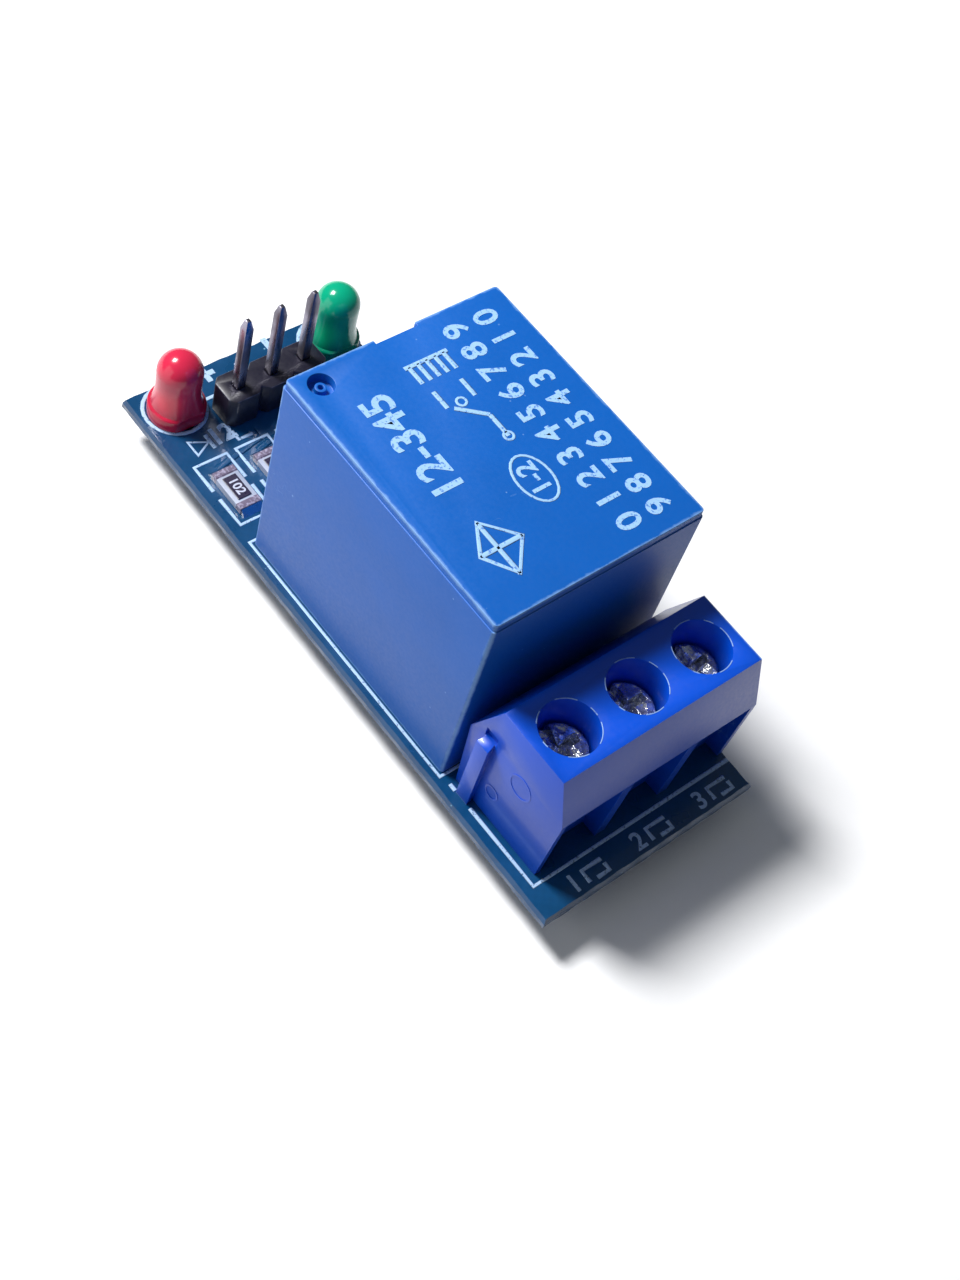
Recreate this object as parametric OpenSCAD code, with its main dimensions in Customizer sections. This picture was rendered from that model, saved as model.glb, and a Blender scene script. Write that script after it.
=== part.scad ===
// Relay module board.
// A cube relay, a three-way screw terminal, a pin header, two lamps and a row of chip parts
// on a long narrow board. X runs along the board towards the terminal, Y across it, Z up.
// The origin is under the middle of the board, level with the cut tips of the leads.

/* [Board] */
// Thickness of the board
board_t = 1.0; // [0.8:0.1:1.6]
// Depth of each V score, above and below the snapped web
score_deep = 0.3; // [0.1:0.05:0.35]
// How far a V score leans in from the edge
score_in = 0.15; // [0.05:0.05:0.3]
// Length of the cut leads under the board
lead_out = 2.0; // [1.6:0.1:3]
// Board left in front of the terminal
front_margin = 2.45; // [1:0.05:6]
// Least board left beside the relay
relay_margin = 0.45; // [0.4:0.05:4]
// Least board left beside the terminal
term_margin = 0.18; // [0.15:0.01:2]
// Air between a lead and the wall of its hole
hole_gap = 0.12; // [0.08:0.02:0.2]
// Height of a solder cone under the board
solder_h = 0.9; // [0.5:0.1:1.3]
// Width of the ring that a solder cone covers round its lead
solder_ring = 0.5; // [0.35:0.05:0.7]

/* [Pin header] */
// Distance from the board's end to the row of pins
header_u = 4.2; // [3.4:0.1:5]
// Spacing of the pins
pin_pitch = 2.54; // [2:0.01:2.54]
// Side of a square pin
pin_side = 0.64; // [0.5:0.02:0.7]
// Height of a pin above the board
pin_up = 8.5; // [6:0.1:12]
// Width of the header's body
header_w = 2.5; // [2:0.1:2.6]
// Height of the header's body
header_h = 2.5; // [1.5:0.1:4]
// Cut corner between two pins of the header's body
header_notch = 0.45; // [0.2:0.05:0.7]
// Length of the taper at the end of a pin
pin_taper = 0.7; // [0.3:0.1:1]

/* [Lamps] */
// Distance from the board's end to the lamps
lamp_u = 2.45; // [2.3:0.05:4]
// Red lamp, in from the board's near edge
red_in = 2.5; // [2.05:0.05:2.6]
// Green lamp, in from the board's far edge
green_in = 2.0; // [2:0.05:2.5]
// Radius of a lamp's lens
lamp_r = 1.5; // [1.3:0.05:1.6]
// How far a lamp's flange stands out from its lens
flange_out = 0.4; // [0.2:0.05:0.5]
// Height of a lamp's flange
flange_h = 1.0; // [0.6:0.1:1.2]
// Height of a lamp
lamp_h = 5.3; // [4.8:0.1:8]
// Spacing of a lamp's two leads
lamp_pitch = 2.54; // [2.2:0.02:2.54]
// Side of a lamp's square lead
lamp_lead = 0.5; // [0.4:0.02:0.55]
// How much shorter a lamp's leads are cut than the others
lamp_short = 0.4; // [0:0.1:0.6]

/* [Chip parts] */
// Distance from the board's end to the middle of the row of chips
chip_u = 9.75; // [9:0.05:9.9]
// Middle of the row of chips, across from the board's middle line
chip_off = 0.05; // [-0.3:0.05:0.3]
// Spacing of the chip parts across the board
chip_pitch = 3.15; // [2.8:0.05:3.2]
// Length of a chip resistor
chip_l = 3.2; // [2:0.1:3.6]
// Width of a chip resistor
chip_w = 1.6; // [1:0.05:1.8]
// Height of a chip resistor
chip_h = 0.55; // [0.35:0.05:0.8]
// Length of a chip resistor's metal end
chip_end = 0.45; // [0.2:0.05:0.6]
// Length of a solder fillet on the board
fillet_l = 0.4; // [0.2:0.05:0.6]
// Length of the transistor's body
trans_l = 2.9; // [2.6:0.1:3.1]
// Width of the transistor's body
trans_w = 1.3; // [1.1:0.1:1.5]
// Height of the transistor
trans_h = 1.05; // [0.9:0.05:1.2]
// Thickness of the transistor's leads
trans_lead_t = 0.14; // [0.1:0.02:0.2]
// Width of the transistor's leads
trans_lead_w = 0.42; // [0.3:0.02:0.5]
// Length of the diode over its end caps
diode_l = 3.5; // [3:0.1:3.8]
// Radius of the diode's end caps
diode_r = 0.72; // [0.6:0.02:0.8]
// Length of one end cap of the diode
diode_cap = 0.6; // [0.4:0.05:0.9]

/* [Relay case] */
// Distance from the board's end to the relay
relay_u = 13.55; // [12.6:0.05:16]
// Middle of the relay, across from the board's middle line
relay_off = 0.2; // [0:0.05:1]
// Length of the relay
relay_l = 19.2; // [18.6:0.1:22]
// Width of the relay
relay_w = 15.5; // [15:0.1:18]
// Height of the relay above the board
relay_h = 15.4; // [13:0.1:18]
// Wall of the cover
cover_wall = 0.8; // [0.6:0.05:0.9]
// Thickness of the cover's top
cover_top = 0.9; // [0.8:0.05:1.4]
// Radius of the cover's upright corners
cover_r = 0.25; // [0.1:0.05:0.6]
// Height of the stepped band round the top of the cover
band_h = 0.55; // [0.3:0.05:1]
// How far the stepped band is set in
band_in = 0.08; // [0.04:0.02:0.2]
// Radius of the vent pocket
vent_r = 0.8; // [0.5:0.05:1]
// Depth of the vent pocket
vent_deep = 0.65; // [0.4:0.05:0.7]
// Vent pocket, in from the header end of the cover
vent_in_x = 1.3; // [1.2:0.1:3]
// Vent pocket, in from the near side of the cover
vent_in_y = 1.7; // [1.4:0.1:3]
// Width of the recess in the end wall
gate_w = 3.0; // [1.5:0.1:5]
// Depth of the recess in the end wall
gate_deep = 0.35; // [0.15:0.05:0.4]
// Height of the recess in the end wall
gate_h = 4.0; // [1:0.5:8]
// Thickness of the relay's base
base_t = 1.5; // [1:0.1:2]
// Height of the feet under the base
base_foot = 0.5; // [0.2:0.1:0.8]
// Gap between the base and the cover
base_gap = 0.05; // [0.02:0.01:0.1]
// Common pin, in from the header end of the relay
common_in = 2.3; // [2.2:0.1:2.6]
// Coil pins, past the common pin
coil_past = 2.0; // [1.8:0.1:2.4]
// Contact pins, in from the terminal end of the relay
contact_in = 2.7; // [2.4:0.1:3]
// Side pins, in from the sides of the relay
side_in = 1.75; // [1.6:0.05:2]

/* [Relay works] */
// Thickness of the yoke
yoke_t = 1.2; // [1:0.05:1.3]
// Width of the yoke
yoke_w = 6.4; // [5:0.1:7]
// Gap between the cover's end wall and the contact spring
spring_gap = 0.35; // [0.3:0.05:0.6]
// Thickness of the contact spring
spring_t = 0.2; // [0.1:0.05:0.25]
// Width of the contact spring
spring_w = 3.0; // [2.4:0.1:5]
// Thickness of the armature
armature_t = 1.0; // [0.8:0.05:1.2]
// Length of the armature past its hinge
armature_l = 8.3; // [8:0.1:9]
// Running gap at the armature's hinge
hinge_gap = 0.05; // [0.02:0.01:0.08]
// Air gap over the pole when the coil is off
pole_gap = 0.3; // [0.28:0.02:0.5]
// Radius of the core
core_r = 1.5; // [1:0.05:1.6]
// Radius of the core's pole
pole_r = 2.9; // [2.2:0.1:3]
// Thickness of the core's pole
pole_t = 0.6; // [0.4:0.1:1]
// Radius of the winding
winding_r = 3.5; // [3:0.1:3.7]
// Wall of the bobbin's tube
bobbin_wall = 0.5; // [0.4:0.05:0.8]
// Thickness of the bobbin's flanges
bobbin_flange = 0.7; // [0.5:0.05:1]
// Length of the bobbin's flanges along the relay
bobbin_l = 7.8; // [7.6:0.1:8]
// Width of the bobbin's flanges
bobbin_w = 8.4; // [8:0.1:9.5]
// Radius of a contact
contact_r = 1.1; // [0.8:0.05:1.2]
// Thickness of a contact
contact_t = 0.35; // [0.25:0.05:0.45]
// Travel of the moving contact
contact_gap = 0.52; // [0.5:0.02:0.8]
// Thickness of the contact terminals
blade_t = 0.4; // [0.3:0.05:0.5]
// Width of a relay pin
pin_w = 1.0; // [0.8:0.05:1.1]
// Side of a coil pin
coil_pin = 0.6; // [0.4:0.05:0.7]

/* [Screw terminal] */
// Spacing of the ways
way_pitch = 5.08; // [5:0.01:5.2]
// Gap between the relay and the terminal
term_gap = 0.35; // [0.2:0.05:1]
// Middle of the terminal, across from the board's middle line
term_off = 0.6; // [0:0.05:1]
// Height of the terminal
term_h = 9.5; // [9:0.1:12]
// Depth of the terminal at its widest
term_d = 8.05; // [7.8:0.05:9]
// Height of the widest place on the back
back_knee = 5.7; // [4.5:0.1:7]
// How far the back leans in towards the top
back_lean = 1.8; // [1:0.05:1.9]
// How far the back leans in towards the board
back_tuck = 0.4; // [0.1:0.05:0.6]
// Height of the widest place on the front
front_knee = 6.1; // [5.9:0.05:6.6]
// How far the front leans in towards the top
front_lean = 1.15; // [0.6:0.05:1.2]
// How far the front leans in towards the board
front_tuck = 0.25; // [0.1:0.05:0.6]
// Middle of the wells, in from the back
well_in = 4.4; // [4.3:0.05:4.5]
// Radius of a screw well
well_r = 1.85; // [1.6:0.05:1.95]
// Wall left between two clamp chambers
chamber_wall = 1.18; // [1:0.02:1.4]
// Wall between the clamp chamber and the front recess
front_wall = 0.45; // [0.4:0.05:0.7]
// Thickness of the fins between the front recesses
fin_t = 0.8; // [0.6:0.05:1.2]
// Width of the joining rib on the end face
rib_w = 1.0; // [0.8:0.05:1.2]
// How far the joining rib stands out
rib_out = 0.55; // [0.3:0.05:0.6]
// Height of the joining rib
rib_h = 6.3; // [4:0.1:6.6]
// Gap between a rib and the groove of the next block
rib_gap = 0.1; // [0.05:0.01:0.15]

/* [Clamps] */
// Length of a clamp cage
cage_l = 3.6; // [3.5:0.05:3.7]
// Gap between a cage and its chamber
cage_gap = 0.05; // [0.03:0.01:0.08]
// Thickness of the cage's sides
cage_side = 0.6; // [0.4:0.05:0.65]
// Thickness of the cage's floor
cage_floor = 0.7; // [0.5:0.05:0.8]
// Thickness of the cage's threaded top
cage_top = 1.0; // [0.8:0.05:1.2]
// Height of the cage above the board
cage_up = 0.5; // [0.3:0.05:0.6]
// Width of a cage's solder pin
cage_pin_w = 1.0; // [0.8:0.05:1.1]
// Thickness of a cage's solder pin
cage_pin_t = 0.8; // [0.5:0.05:0.9]
// How far a screw's head lies below the top of the terminal
head_down = 2.1; // [1.9:0.05:2.3]
// Gap between a screw's head and its well
head_gap = 0.15; // [0.1:0.01:0.3]
// Height of a screw's head
head_h = 1.5; // [1.2:0.05:1.6]
// Radius of a screw's shank
shank_r = 1.25; // [1:0.05:1.3]
// Running gap round a screw's shank
shank_gap = 0.05; // [0.02:0.01:0.08]
// How far a screw can still be driven in
drive_left = 0.5; // [0.46:0.01:0.6]
// Width of the slots in a screw's head
slot_w = 0.55; // [0.4:0.05:0.7]
// Depth of the slots in a screw's head
slot_deep = 0.8; // [0.5:0.05:1]
// Thickness of a wire guard
guard_t = 0.4; // [0.3:0.05:0.45]
// Length of a wire guard
guard_l = 3.4; // [3.4:0.02:3.5]
// Gap between a wire guard and the cage's sides
guard_gap = 0.1; // [0.05:0.01:0.15]
// Height of a wire guard's front lip
guard_lip = 0.4; // [0.2:0.05:0.4]

/* [Hidden] */
$fn = 48;

// A cut runs this far past the face it opens
past = 0.1;
// Gap round pieces that are pushed or moulded together
snug = 0.02;

// Board, with its length and width worked out from what stands on it
ways = 3;
pins = 3;
chips = 5;
term_w = ways * way_pitch;
board_l = relay_u + relay_l + term_gap + term_d + front_margin;
board_w = 2 * max(relay_w / 2 + relay_off + relay_margin, term_w / 2 + term_off + term_margin);
board_top = lead_out + board_t;
lead_down = board_t + lead_out;

// Places on the board
header_x = header_u - board_l / 2;
lamp_x = lamp_u - board_l / 2;
chip_x = chip_u - board_l / 2;
relay_x = relay_u - board_l / 2;
relay_y = relay_off;
term_x = relay_x + relay_l + term_gap;
term_y = term_off;
red_y = red_in - board_w / 2;
green_y = board_w / 2 - green_in;
function pin_y(n) = (n - (pins + 1) / 2) * pin_pitch;
function way_y(n) = (n - (ways + 1) / 2) * way_pitch;
function chip_y(n) = chip_off + (n - (chips + 1) / 2) * chip_pitch;
transistor_slot = 4;
diode_slot = 5;

// Lamps
flange_r = lamp_r + flange_out;
flange_flat = lamp_r + flange_out / 4;
post_top = lamp_h / 2;
// Epoxy left outside a lamp's posts, and their distance from its axis inside the lens
post_wall = 0.15;
post_in = lamp_r - post_wall - lamp_lead / 2;
// Height where the leads step in from the flange to the lens
crank_z = 0.7 * flange_h;
post_wide_z = lamp_h / 4;
cup_r = 0.5;
cup_h = 0.5;
cup_floor_r = 0.22;
cup_mouth_r = 0.42;
die_side = 0.26;
die_h = 0.2;

// Inside the relay, in from its header end and up from the board
base_top = base_foot + base_t;
ceiling = relay_h - cover_top;
spring_x = cover_wall + spring_gap;
yoke_x = spring_x + spring_t;
hinge_x = yoke_x + yoke_t / 2;
bend_r = 0.3;
closed_strip_t = 0.3;
ceiling_gap = 0.25;
closed_strip_z = ceiling - ceiling_gap - closed_strip_t;
closed_contact_z = closed_strip_z - contact_t + 0.05;
contact_up = contact_t;
spring_z = closed_contact_z - contact_up - spring_t;
armature_z = spring_z - armature_t;
hinge_z = armature_z - yoke_t / 3;
open_contact_z = spring_z - contact_t - contact_gap;
open_strip_z = open_contact_z - contact_t - blade_t;
pole_z = armature_z - pole_gap;
flange_top_z = pole_z - pole_t;
foot_top_z = base_top + yoke_t;
bobbin_gap = 0.15;
core_x = yoke_x + yoke_t + bobbin_gap + bobbin_l / 2;
coil_x = common_in + coil_past;
side_y = relay_w / 2 - side_in;
contact_pin_x = relay_l - contact_in;
strip_reach = 1.3;
contact_x = contact_pin_x - strip_reach;
tube_r = core_r + 2 * snug + bobbin_wall;
rivet_r = 0.45;
rivet_up = 0.12;
rivets_x = [hinge_x + 0.3 * armature_l, hinge_x + 0.65 * armature_l];
leg_h = hinge_z - base_top;
rivets_z = [base_top + 0.42 * leg_h, base_top + 0.68 * leg_h];
bobbin_corner = 0.8;
ear_l = 1.6;
ear_w = 1.8;
ear_root = 2.4;
armature_side = 0.1;
spring_past = 0.3;
base_pad = 1.2;
contact_shank_r = 0.6;
nib_r = 0.36;
nib_h = 0.4;
nib_hole_r = 0.17;
nib_hole = 0.3;

// Inside the terminal, in from its back and up from the board
chamber_w = way_pitch - chamber_wall;
cage_w = chamber_w - 2 * cage_gap;
head_r = well_r - head_gap;
head_z = term_h - head_down - head_h;
cage_top_z = head_z - drive_left;
floor_z = cage_up + cage_floor;
guard_z = floor_z + drive_left;
shank_l = head_z - guard_z - guard_t;
inner_w = cage_w - 2 * cage_side;
recess_x = well_in + cage_l / 2 + cage_gap + front_wall;
rib_x = 1.6;
rib_root = 0.7 * rib_w;
rib_slope = 0.25;
pocket_h = 0.7;
pocket_deep = 0.25;
lip_edge = 0.1;

// ---- Shapes used more than once ----

// Upright prism with rounded corners, standing on z = 0 round the middle
module slab(l, w, h, r) {
    linear_extrude(height = h) {
        square([l - 2 * r, w], center = true);
        square([l, w - 2 * r], center = true);
        for (x = [-1, 1], y = [-1, 1])
            translate([x * (l / 2 - r), y * (w / 2 - r)]) circle(r = r);
    }
}

// Box centred in x and y, standing on z = 0
module post(l, w, h) {
    translate([-l / 2, -w / 2, 0]) cube([l, w, h]);
}

// Outline in x and z, given its width along y
module across(w) {
    rotate([90, 0, 0]) linear_extrude(height = w, center = true) children();
}

// Outline in y and z, given its length along x
module along(l) {
    rotate([90, 0, 90]) linear_extrude(height = l, center = true) children();
}

// Side view of a bar whose ends, or edges, are cut back by a slope
module bar_side(l, h, back, slope) {
    polygon([[-l / 2 + back, 0], [l / 2 - back, 0], [l / 2, slope], [l / 2, h - slope],
        [l / 2 - back, h], [-l / 2 + back, h], [-l / 2, h - slope], [-l / 2, slope]]);
}

// Square pin with four-sided tapers at both ends
module square_pin(side, h, taper) {
    intersection() {
        across(2 * side) bar_side(side, h, side / 4, taper);
        along(2 * side) bar_side(side, h, side / 4, taper);
    }
}

// Solder cone hanging under the board round a lead of l by w
module solder_cone(l, w) {
    r = norm([l, w]) / 2;
    translate([0, 0, lead_out - solder_h]) difference() {
        cylinder(r1 = r + solder_ring / 5, r2 = r + solder_ring, h = solder_h);
        translate([0, 0, -past]) post(l, w, solder_h + 2 * past);
    }
}

// Solder fillet against an end of a chip, with its foot towards +x
module fillet(w, h) {
    across(w) polygon([[0, 0], [fillet_l, 0], [0, h]]);
}

// Hole through the board for a lead of l by w
module lead_hole(l, w) {
    translate([0, 0, lead_out - past])
        cylinder(r = norm([l, w]) / 2 + hole_gap, h = board_t + 2 * past);
}

module in_relay() {
    translate([relay_x, relay_y, board_top]) children();
}

module in_terminal() {
    translate([term_x, term_y, board_top]) children();
}

module at_pin(n) {
    translate([header_x, pin_y(n), 0]) children();
}

module at_lamp(y) {
    translate([lamp_x, y, board_top]) children();
}

module at_chip(n) {
    translate([chip_x, chip_y(n), board_top]) children();
}

module at_way(n) {
    in_terminal() translate([well_in, way_y(n), 0]) children();
}

// Both leads of a lamp, from the lamp's own middle
module at_lamp_leads() {
    for (x = [-1, 1]) translate([x * lamp_pitch / 2, 0, 0]) children();
}

// ---- Board ----

module circuit_board() color([0.02, 0.30, 0.42]) difference() {
    translate([0, 0, lead_out]) intersection() {
        across(board_w + 1) bar_side(board_l, board_t, score_in, score_deep);
        along(board_l + 1) bar_side(board_w, board_t, score_in, score_deep);
    }
    for (n = [1:pins]) at_pin(n) lead_hole(pin_side, pin_side);
    for (y = [red_y, green_y]) translate([lamp_x, y, 0]) at_lamp_leads() lead_hole(lamp_lead, lamp_lead);
    translate([relay_x, relay_y, 0]) relay_leads(true);
    translate([term_x + well_in, term_y, 0])
        for (n = [1:ways]) translate([0, way_y(n), 0]) lead_hole(cage_pin_t, cage_pin_w);
}

// Drills, or solder cones, for the relay's five leads
module relay_leads(drill) {
    translate([common_in, 0, 0])
        if (drill) lead_hole(blade_t, pin_w); else solder_cone(blade_t, pin_w);
    for (y = [-side_y, side_y]) {
        translate([coil_x, y, 0])
            if (drill) lead_hole(coil_pin, coil_pin); else solder_cone(coil_pin, coil_pin);
        translate([contact_pin_x, y, 0])
            if (drill) lead_hole(pin_w, blade_t); else solder_cone(pin_w, blade_t);
    }
}

// ---- Pin header ----

// One pin's share of the body, with its corners cut
module header_cell() {
    a = header_w / 2;
    b = pin_pitch / 2;
    c = header_notch;
    linear_extrude(height = header_h)
        polygon([[a, -b + c], [a, b - c], [a - c, b], [-a + c, b],
            [-a, b - c], [-a, -b + c], [-a + c, -b], [a - c, -b]]);
}

module header_body() color([0.09, 0.09, 0.11]) translate([0, 0, board_top]) difference() {
    for (n = [1:pins]) at_pin(n) header_cell();
    for (n = [1:pins]) at_pin(n) translate([0, 0, -past]) post(pin_side, pin_side, header_h + 2 * past);
}

module header_pin(n) color([0.80, 0.78, 0.74])
    at_pin(n) square_pin(pin_side, board_top + pin_up, pin_taper);

// ---- Lamps ----

// Round lens on a flange with a flat on the cathode's side
module lens_form() {
    rotate_extrude() {
        square([flange_r, flange_h]);
        square([lamp_r, lamp_h - lamp_r]);
        intersection() {
            translate([0, lamp_h - lamp_r]) circle(r = lamp_r);
            square([lamp_r, lamp_h]);
        }
    }
}

module lens() difference() {
    lens_form();
    translate([flange_flat, -flange_r, -past]) cube([flange_r, 2 * flange_r, flange_h + past]);
    anode();
    cathode();
    lamp_chip();
}

// Lead that steps in towards the lamp's axis inside the flange
module cranked_lead(top) {
    translate([lamp_pitch / 2, 0, -lead_down + lamp_short])
        post(lamp_lead, lamp_lead, lead_down - lamp_short + crank_z);
    translate([post_in, 0, crank_z / 2]) post(lamp_lead, lamp_lead, top - crank_z / 2);
}

module anode() rotate(180) cranked_lead(post_top);

// Lead, widened into an anvil that carries the cup
module cathode() difference() {
    union() {
        cranked_lead(post_top - cup_h);
        translate([-lamp_lead / 2, -lamp_lead / 2, post_wide_z])
            cube([post_in + lamp_lead, lamp_lead, post_top - cup_h - post_wide_z]);
        translate([0, 0, post_top - cup_h]) cylinder(r = cup_r, h = cup_h);
    }
    translate([0, 0, post_top - cup_h + die_h])
        cylinder(r1 = cup_floor_r, r2 = cup_mouth_r, h = cup_h - die_h);
}

module lamp_chip() {
    translate([0, 0, post_top - cup_h + die_h]) post(die_side, die_side, die_h);
}

// ---- Chip parts ----

module resistor(n) color([0.16, 0.17, 0.20]) at_chip(n) {
    post(chip_l - 2 * chip_end, chip_w, chip_h - end_proud);
    for (x = [-1, 1]) translate([x * (chip_l - chip_end) / 2, 0, 0]) post(chip_end, chip_w, chip_h);
}

// How far metal ends stand out of the chip parts they cap
end_proud = 0.04;
// Middle height of the transistor's leads where they leave the body
trans_mid = trans_h / 2;
trans_pitch = 1.9;
trans_foot = 0.4;
trans_step = 0.2;
trans_draft = 0.08;

module transistor_body() color([0.10, 0.10, 0.11]) at_chip(transistor_slot)
    translate([0, 0, trans_lead_t / 2]) intersection() {
        along(trans_w + 1) bar_side(trans_l, trans_h - trans_lead_t / 2, trans_draft, trans_mid / 2);
        across(trans_l + 1) bar_side(trans_w, trans_h - trans_lead_t / 2, trans_draft, trans_mid / 2);
    }

// Lead bent down from the body to the board, towards +x
module gull_lead() {
    t = trans_lead_t;
    z = trans_mid;
    a = trans_w / 2;
    b = a + trans_step;
    across(trans_lead_w) polygon([[a, z], [b, z], [b, t], [b + trans_foot, t], [b + trans_foot, 0],
        [b - t, 0], [b - t, z - t], [a, z - t]]);
}

// Two leads on one side of the body and one on the other
module at_transistor_leads() {
    for (y = [-1, 1]) translate([0, y * trans_pitch / 2, 0]) children();
    mirror([1, 0, 0]) children();
}

module transistor_leads() color([0.78, 0.78, 0.78])
    at_chip(transistor_slot) at_transistor_leads() gull_lead();

module diode_glass() color([0.85, 0.45, 0.30]) at_chip(diode_slot)
    translate([-diode_l / 2 + diode_cap, 0, diode_r]) rotate([0, 90, 0])
        cylinder(r = diode_r - end_proud, h = diode_l - 2 * diode_cap);

module diode_caps() color([0.78, 0.78, 0.78]) at_chip(diode_slot)
    for (x = [-diode_l / 2, diode_l / 2 - diode_cap])
        translate([x, 0, diode_r]) rotate([0, 90, 0]) cylinder(r = diode_r, h = diode_cap);

// ---- Relay case ----

module vent_nib() difference() {
    cylinder(r = nib_r, h = nib_h);
    translate([0, 0, nib_h - nib_hole]) cylinder(r = nib_hole_r, h = nib_hole + past);
}

module relay_cover() color([0.00, 0.40, 0.78]) in_relay() {
    difference() {
        translate([relay_l / 2, 0, 0]) {
            slab(relay_l, relay_w, relay_h - band_h, cover_r);
            slab(relay_l - 2 * band_in, relay_w - 2 * band_in, relay_h, cover_r);
        }
        translate([cover_wall, cover_wall - relay_w / 2, -past])
            cube([relay_l - 2 * cover_wall, relay_w - 2 * cover_wall, ceiling + past]);
        translate([vent_in_x, vent_in_y - relay_w / 2, relay_h - vent_deep])
            cylinder(r = vent_r, h = vent_deep + past);
        translate([-past, -gate_w / 2, relay_h - gate_h]) cube([gate_deep + past, gate_w, gate_h + past]);
    }
    translate([vent_in_x, vent_in_y - relay_w / 2, relay_h - vent_deep]) vent_nib();
}

module relay_base() color([0.06, 0.07, 0.09]) in_relay() {
    l = relay_l - 2 * cover_wall - 2 * base_gap;
    w = relay_w - 2 * cover_wall - 2 * base_gap;
    translate([relay_l / 2, 0, 0]) difference() {
        union() {
            translate([0, 0, base_foot]) post(l, w, base_t);
            for (x = [-1, 1], y = [-1, 1])
                translate([x * (l - base_pad) / 2, y * (w - base_pad) / 2, 0]) post(base_pad, base_pad, base_foot);
        }
        translate([-relay_l / 2, 0, 0]) {
            translate([common_in, 0, 0]) post(blade_t + 2 * snug, pin_w + 2 * snug, base_top);
            translate([common_plate_x, 0, base_top - blade_t])
                post(common_plate_l + 2 * snug, common_plate_w + 2 * snug, blade_t + past);
            for (y = [-side_y, side_y]) {
                translate([coil_x, y, 0]) post(coil_pin + 2 * snug, coil_pin + 2 * snug, base_top + past);
                translate([contact_pin_x, y, 0]) post(pin_w + 2 * snug, blade_t + 2 * snug, base_top + past);
            }
        }
    }
}

// ---- Relay works ----

common_plate_l = 2.0;
common_plate_w = 3.0;
common_plate_x = common_in + 0.3;

module common_terminal() color([0.80, 0.66, 0.36]) in_relay() {
    translate([common_plate_x, 0, base_top - blade_t]) post(common_plate_l, common_plate_w, blade_t);
    translate([common_in, 0, -lead_down]) post(blade_t, pin_w, lead_down + base_top - blade_t);
}

// Foot under the coil and leg behind it, with a rounded edge that the armature rocks on
module relay_yoke() color([0.66, 0.67, 0.68]) in_relay() {
    difference() {
        union() {
            translate([yoke_x, -yoke_w / 2, base_top])
                cube([core_x + core_r + yoke_t - yoke_x, yoke_w, yoke_t]);
            translate([yoke_x, -yoke_w / 2, base_top]) cube([yoke_t, yoke_w, hinge_z - base_top]);
            translate([hinge_x, 0, hinge_z]) rotate([90, 0, 0])
                cylinder(r = yoke_t / 2, h = yoke_w, center = true);
        }
        translate([core_x, 0, base_top - past]) cylinder(r = core_r + snug, h = yoke_t + 2 * past);
    }
    for (z = rivets_z) translate([yoke_x - spring_t - rivet_up, 0, z]) rotate([0, 90, 0])
        cylinder(r = rivet_r, h = spring_t + rivet_up + past);
}

module relay_core() color([0.72, 0.73, 0.74]) in_relay() translate([core_x, 0, 0]) {
    translate([0, 0, base_top]) cylinder(r = core_r, h = flange_top_z - base_top);
    translate([0, 0, flange_top_z]) cylinder(r = pole_r, h = pole_t);
}

// Tube and flanges, with an ear on each side that holds a coil pin
module relay_bobbin() color([0.12, 0.12, 0.13]) in_relay() difference() {
    union() {
        translate([core_x, 0, foot_top_z]) {
            slab(bobbin_l, bobbin_w, bobbin_flange, bobbin_corner);
            cylinder(r = tube_r, h = flange_top_z - foot_top_z);
        }
        translate([core_x, 0, flange_top_z - bobbin_flange]) slab(bobbin_l, bobbin_w, bobbin_flange, bobbin_corner);
        for (y = [-1, 1]) translate([coil_x, y * (side_y + ear_w / 4), 0]) {
            translate([0, -y * ear_w / 2, base_top]) post(ear_l, ear_w, foot_top_z - base_top + bobbin_flange);
            translate([0, -y * (ear_w / 2 + ear_root) / 1.5, foot_top_z]) post(ear_l, ear_root, bobbin_flange);
        }
    }
    translate([core_x, 0, 0]) cylinder(r = core_r + 2 * snug, h = relay_h);
    for (y = [-side_y, side_y])
        translate([coil_x, y, 0]) post(coil_pin + 2 * snug, coil_pin + 2 * snug, relay_h);
}

module relay_winding() color([0.72, 0.36, 0.18]) in_relay()
    translate([core_x, 0, foot_top_z + bobbin_flange + snug]) difference() {
        h = flange_top_z - foot_top_z - 2 * bobbin_flange - 2 * snug;
        cylinder(r = winding_r, h = h);
        translate([0, 0, -past]) cylinder(r = tube_r + snug, h = h + 2 * past);
    }

module coil_pin_at(y) color([0.80, 0.80, 0.80]) in_relay()
    translate([coil_x, y, -lead_down]) post(coil_pin, coil_pin, lead_down + foot_top_z + 2 * bobbin_flange);

module relay_armature() color([0.70, 0.71, 0.72]) in_relay() {
    x0 = yoke_x + bend_r;
    difference() {
        translate([x0, armature_side - yoke_w / 2, armature_z])
            cube([hinge_x + armature_l - x0, yoke_w - 2 * armature_side, armature_t]);
        translate([hinge_x, 0, hinge_z]) rotate([90, 0, 0])
            cylinder(r = yoke_t / 2 + hinge_gap, h = yoke_w + 1, center = true);
    }
    for (x = rivets_x) translate([x, 0, armature_z + armature_t])
        cylinder(r = rivet_r, h = spring_t + rivet_up);
}

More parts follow.
